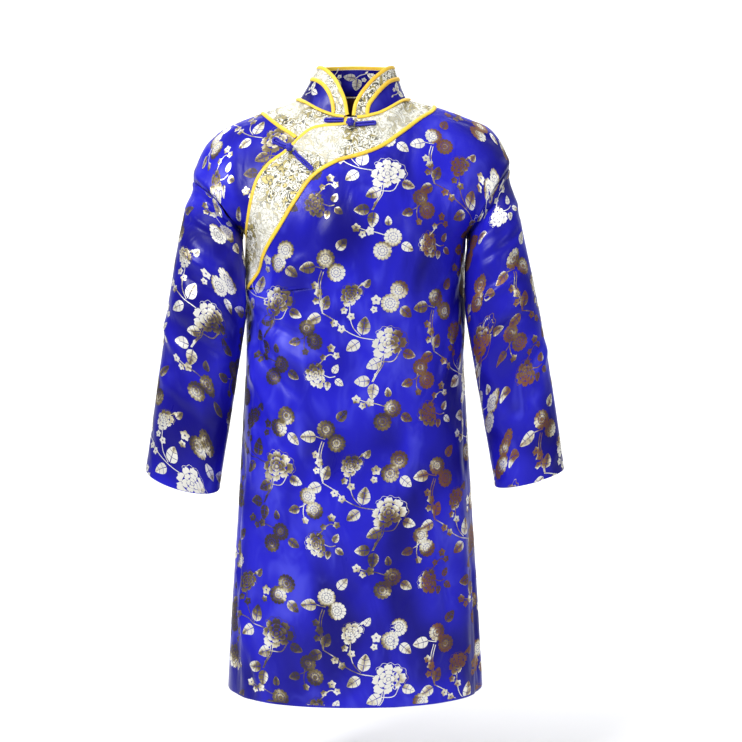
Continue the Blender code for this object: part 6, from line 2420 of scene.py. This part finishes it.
@dataclass
class Studio:
    """A pale floor that curves up behind, soft lights, and the camera at the photo's angle."""

    finishes: Finishes
    scale: float = 0.00202
    distance: float = 2.9
    eye: float = -0.29694
    floor: float = -1.42

    def backdrop(self) -> None:
        """The floor and the wall behind it, as one sheet with a wide bend."""
        bend = np.linspace(0, QUARTER, 14)
        near, bend_at, radius, wall_at, wall_top, half_width = -7.0, 2.2, 1.6, 3.8, 6.0, 9.0
        y = np.concatenate([[near], bend_at + radius * np.sin(bend), [wall_at]])
        z = np.concatenate([[self.floor], self.floor + radius * (1 - np.cos(bend)), [wall_top]])
        x = np.linspace(-half_width, half_width, 7)
        points = np.stack([np.repeat(x[:, None], len(y), 1), np.tile(y, (7, 1)), np.tile(z, (7, 1))], axis=-1)
        mesh = bpy.data.meshes.new("studio_floor")
        faces = quads_of(np.arange(7 * len(y)).reshape(7, len(y)))[:, ::-1]
        mesh.from_pydata(points.reshape(-1, 3).tolist(), [], faces.tolist())
        mesh.shade_smooth()
        mesh.materials.append(self.finishes.paper)
        made = bpy.data.objects.new("studio_floor", mesh)
        bpy.context.scene.collection.objects.link(made)

    def light(self, name: str, place: tuple, size: tuple, power: float, aim: tuple) -> None:
        """A soft panel of light that faces a point."""
        lamp = bpy.data.lights.new(name, "AREA")
        lamp.shape, lamp.size, lamp.size_y, lamp.energy = "RECTANGLE", size[0], size[1], power
        made = bpy.data.objects.new(name, lamp)
        made.location = place
        made.rotation_euler = (Vector(aim) - Vector(place)).to_track_quat("-Z", "Y").to_euler()
        bpy.context.scene.collection.objects.link(made)

    def camera(self) -> None:
        """The camera: level in front of the chest, and turned down to the middle of the robe."""
        data = bpy.data.cameras.new("camera")
        made = bpy.data.objects.new("camera", data)
        place = Vector((0.0, -self.distance, self.eye))
        aim = Vector((AIM[0] * self.scale, 0.0, AIM[1] * self.scale)) - place
        made.location = place
        made.rotation_euler = aim.to_track_quat("-Z", "Y").to_euler()
        data.sensor_width = SENSOR
        data.lens = SENSOR * aim.length / (PHOTO_SIZE * self.scale)
        bpy.context.scene.collection.objects.link(made)
        bpy.context.scene.camera = made

    def build(self) -> None:
        """Builds all of it."""
        self.backdrop()
        for lamp in LIGHTS:
            self.light(*lamp)
        world = bpy.data.worlds.new("studio")
        world.use_nodes = True
        sky = world.node_tree.nodes["Background"].inputs
        sky["Color"].default_value, sky["Strength"].default_value = SKY
        bpy.context.scene.world = world
        bpy.context.scene.view_settings.view_transform = "Standard"


# Flat sizes of the cut: width, length and area.
CUT = {
    "lap_front": (0.79, 1.13, 0.680),
    "right_front": (0.19, 1.17, 0.112),
    "back": (0.72, 1.17, 0.710),
    "lap_band": (0.17, 0.56, 0.046),
    "right_yoke": (0.16, 0.17, 0.017),
    "back_yoke": (0.37, 0.12, 0.034),
    "right_sleeve": (0.46, 0.62, 0.243),
    "left_sleeve": (0.46, 0.64, 0.237),
    "collar": (0.47, 0.056, 0.019),
    "collar_band": (0.44, 0.044, 0.012),
}
GOES_WITH = {
    "lap_front": ["lap_edge"],
    "lap_band": ["lap_band_piping"],
    "right_yoke": ["right_yoke_piping"],
    "back_yoke": ["back_yoke_piping"],
    "collar": ["neck_piping"],
    "collar_band": ["collar_band_piping", "collar_edge"],
}


def declare_sheets(pieces: dict[str, bpy.types.Object], prints: dict[str, list]) -> None:
    """Goes through the sheets of the cut and gathers the pieces and foil that go with each, but makes nothing
    of them.

    Args:
        pieces: Each piece by the name of its node.
        prints: The foil on each piece.
    """
    for name, (width, length, area) in CUT.items():
        beside = [pieces[other] for other in GOES_WITH.get(name, [])] + prints.get(name, [])


def main() -> None:
    """Builds the robe piece by piece, then the studio."""
    logging.basicConfig(level=logging.INFO, format="%(message)s")
    finishes, body = Finishes(), Body()
    studio = Studio(finishes)
    studio.camera()
    robe = BodyPieces(body, finishes)
    pieces = {**robe.build_fronts(), **robe.build_back()}
    prints = {name: [piece] for name, piece in robe.print_foil().items()}
    for side in Side:
        sleeve = Sleeve(side, body, finishes)
        pieces[sleeve.name] = sleeve.build()
        prints[sleeve.name] = [sleeve.print_foil()]
    collar = Collar(body, finishes)
    pieces.update(collar.build())
    outer, inner = collar.sprays()
    prints["collar"], prints["collar_band"] = [outer], [inner]
    pieces["neck_piping"] = add_neck_piping(body, collar, finishes)
    for name, knot, bars, gaps, fan in BUTTONS:
        KnotButton(name, knot, bars, gaps, body, finishes, fan=fan).build()
    declare_sheets(pieces, prints)
    studio.build()


if __name__ == "__main__":
    main()
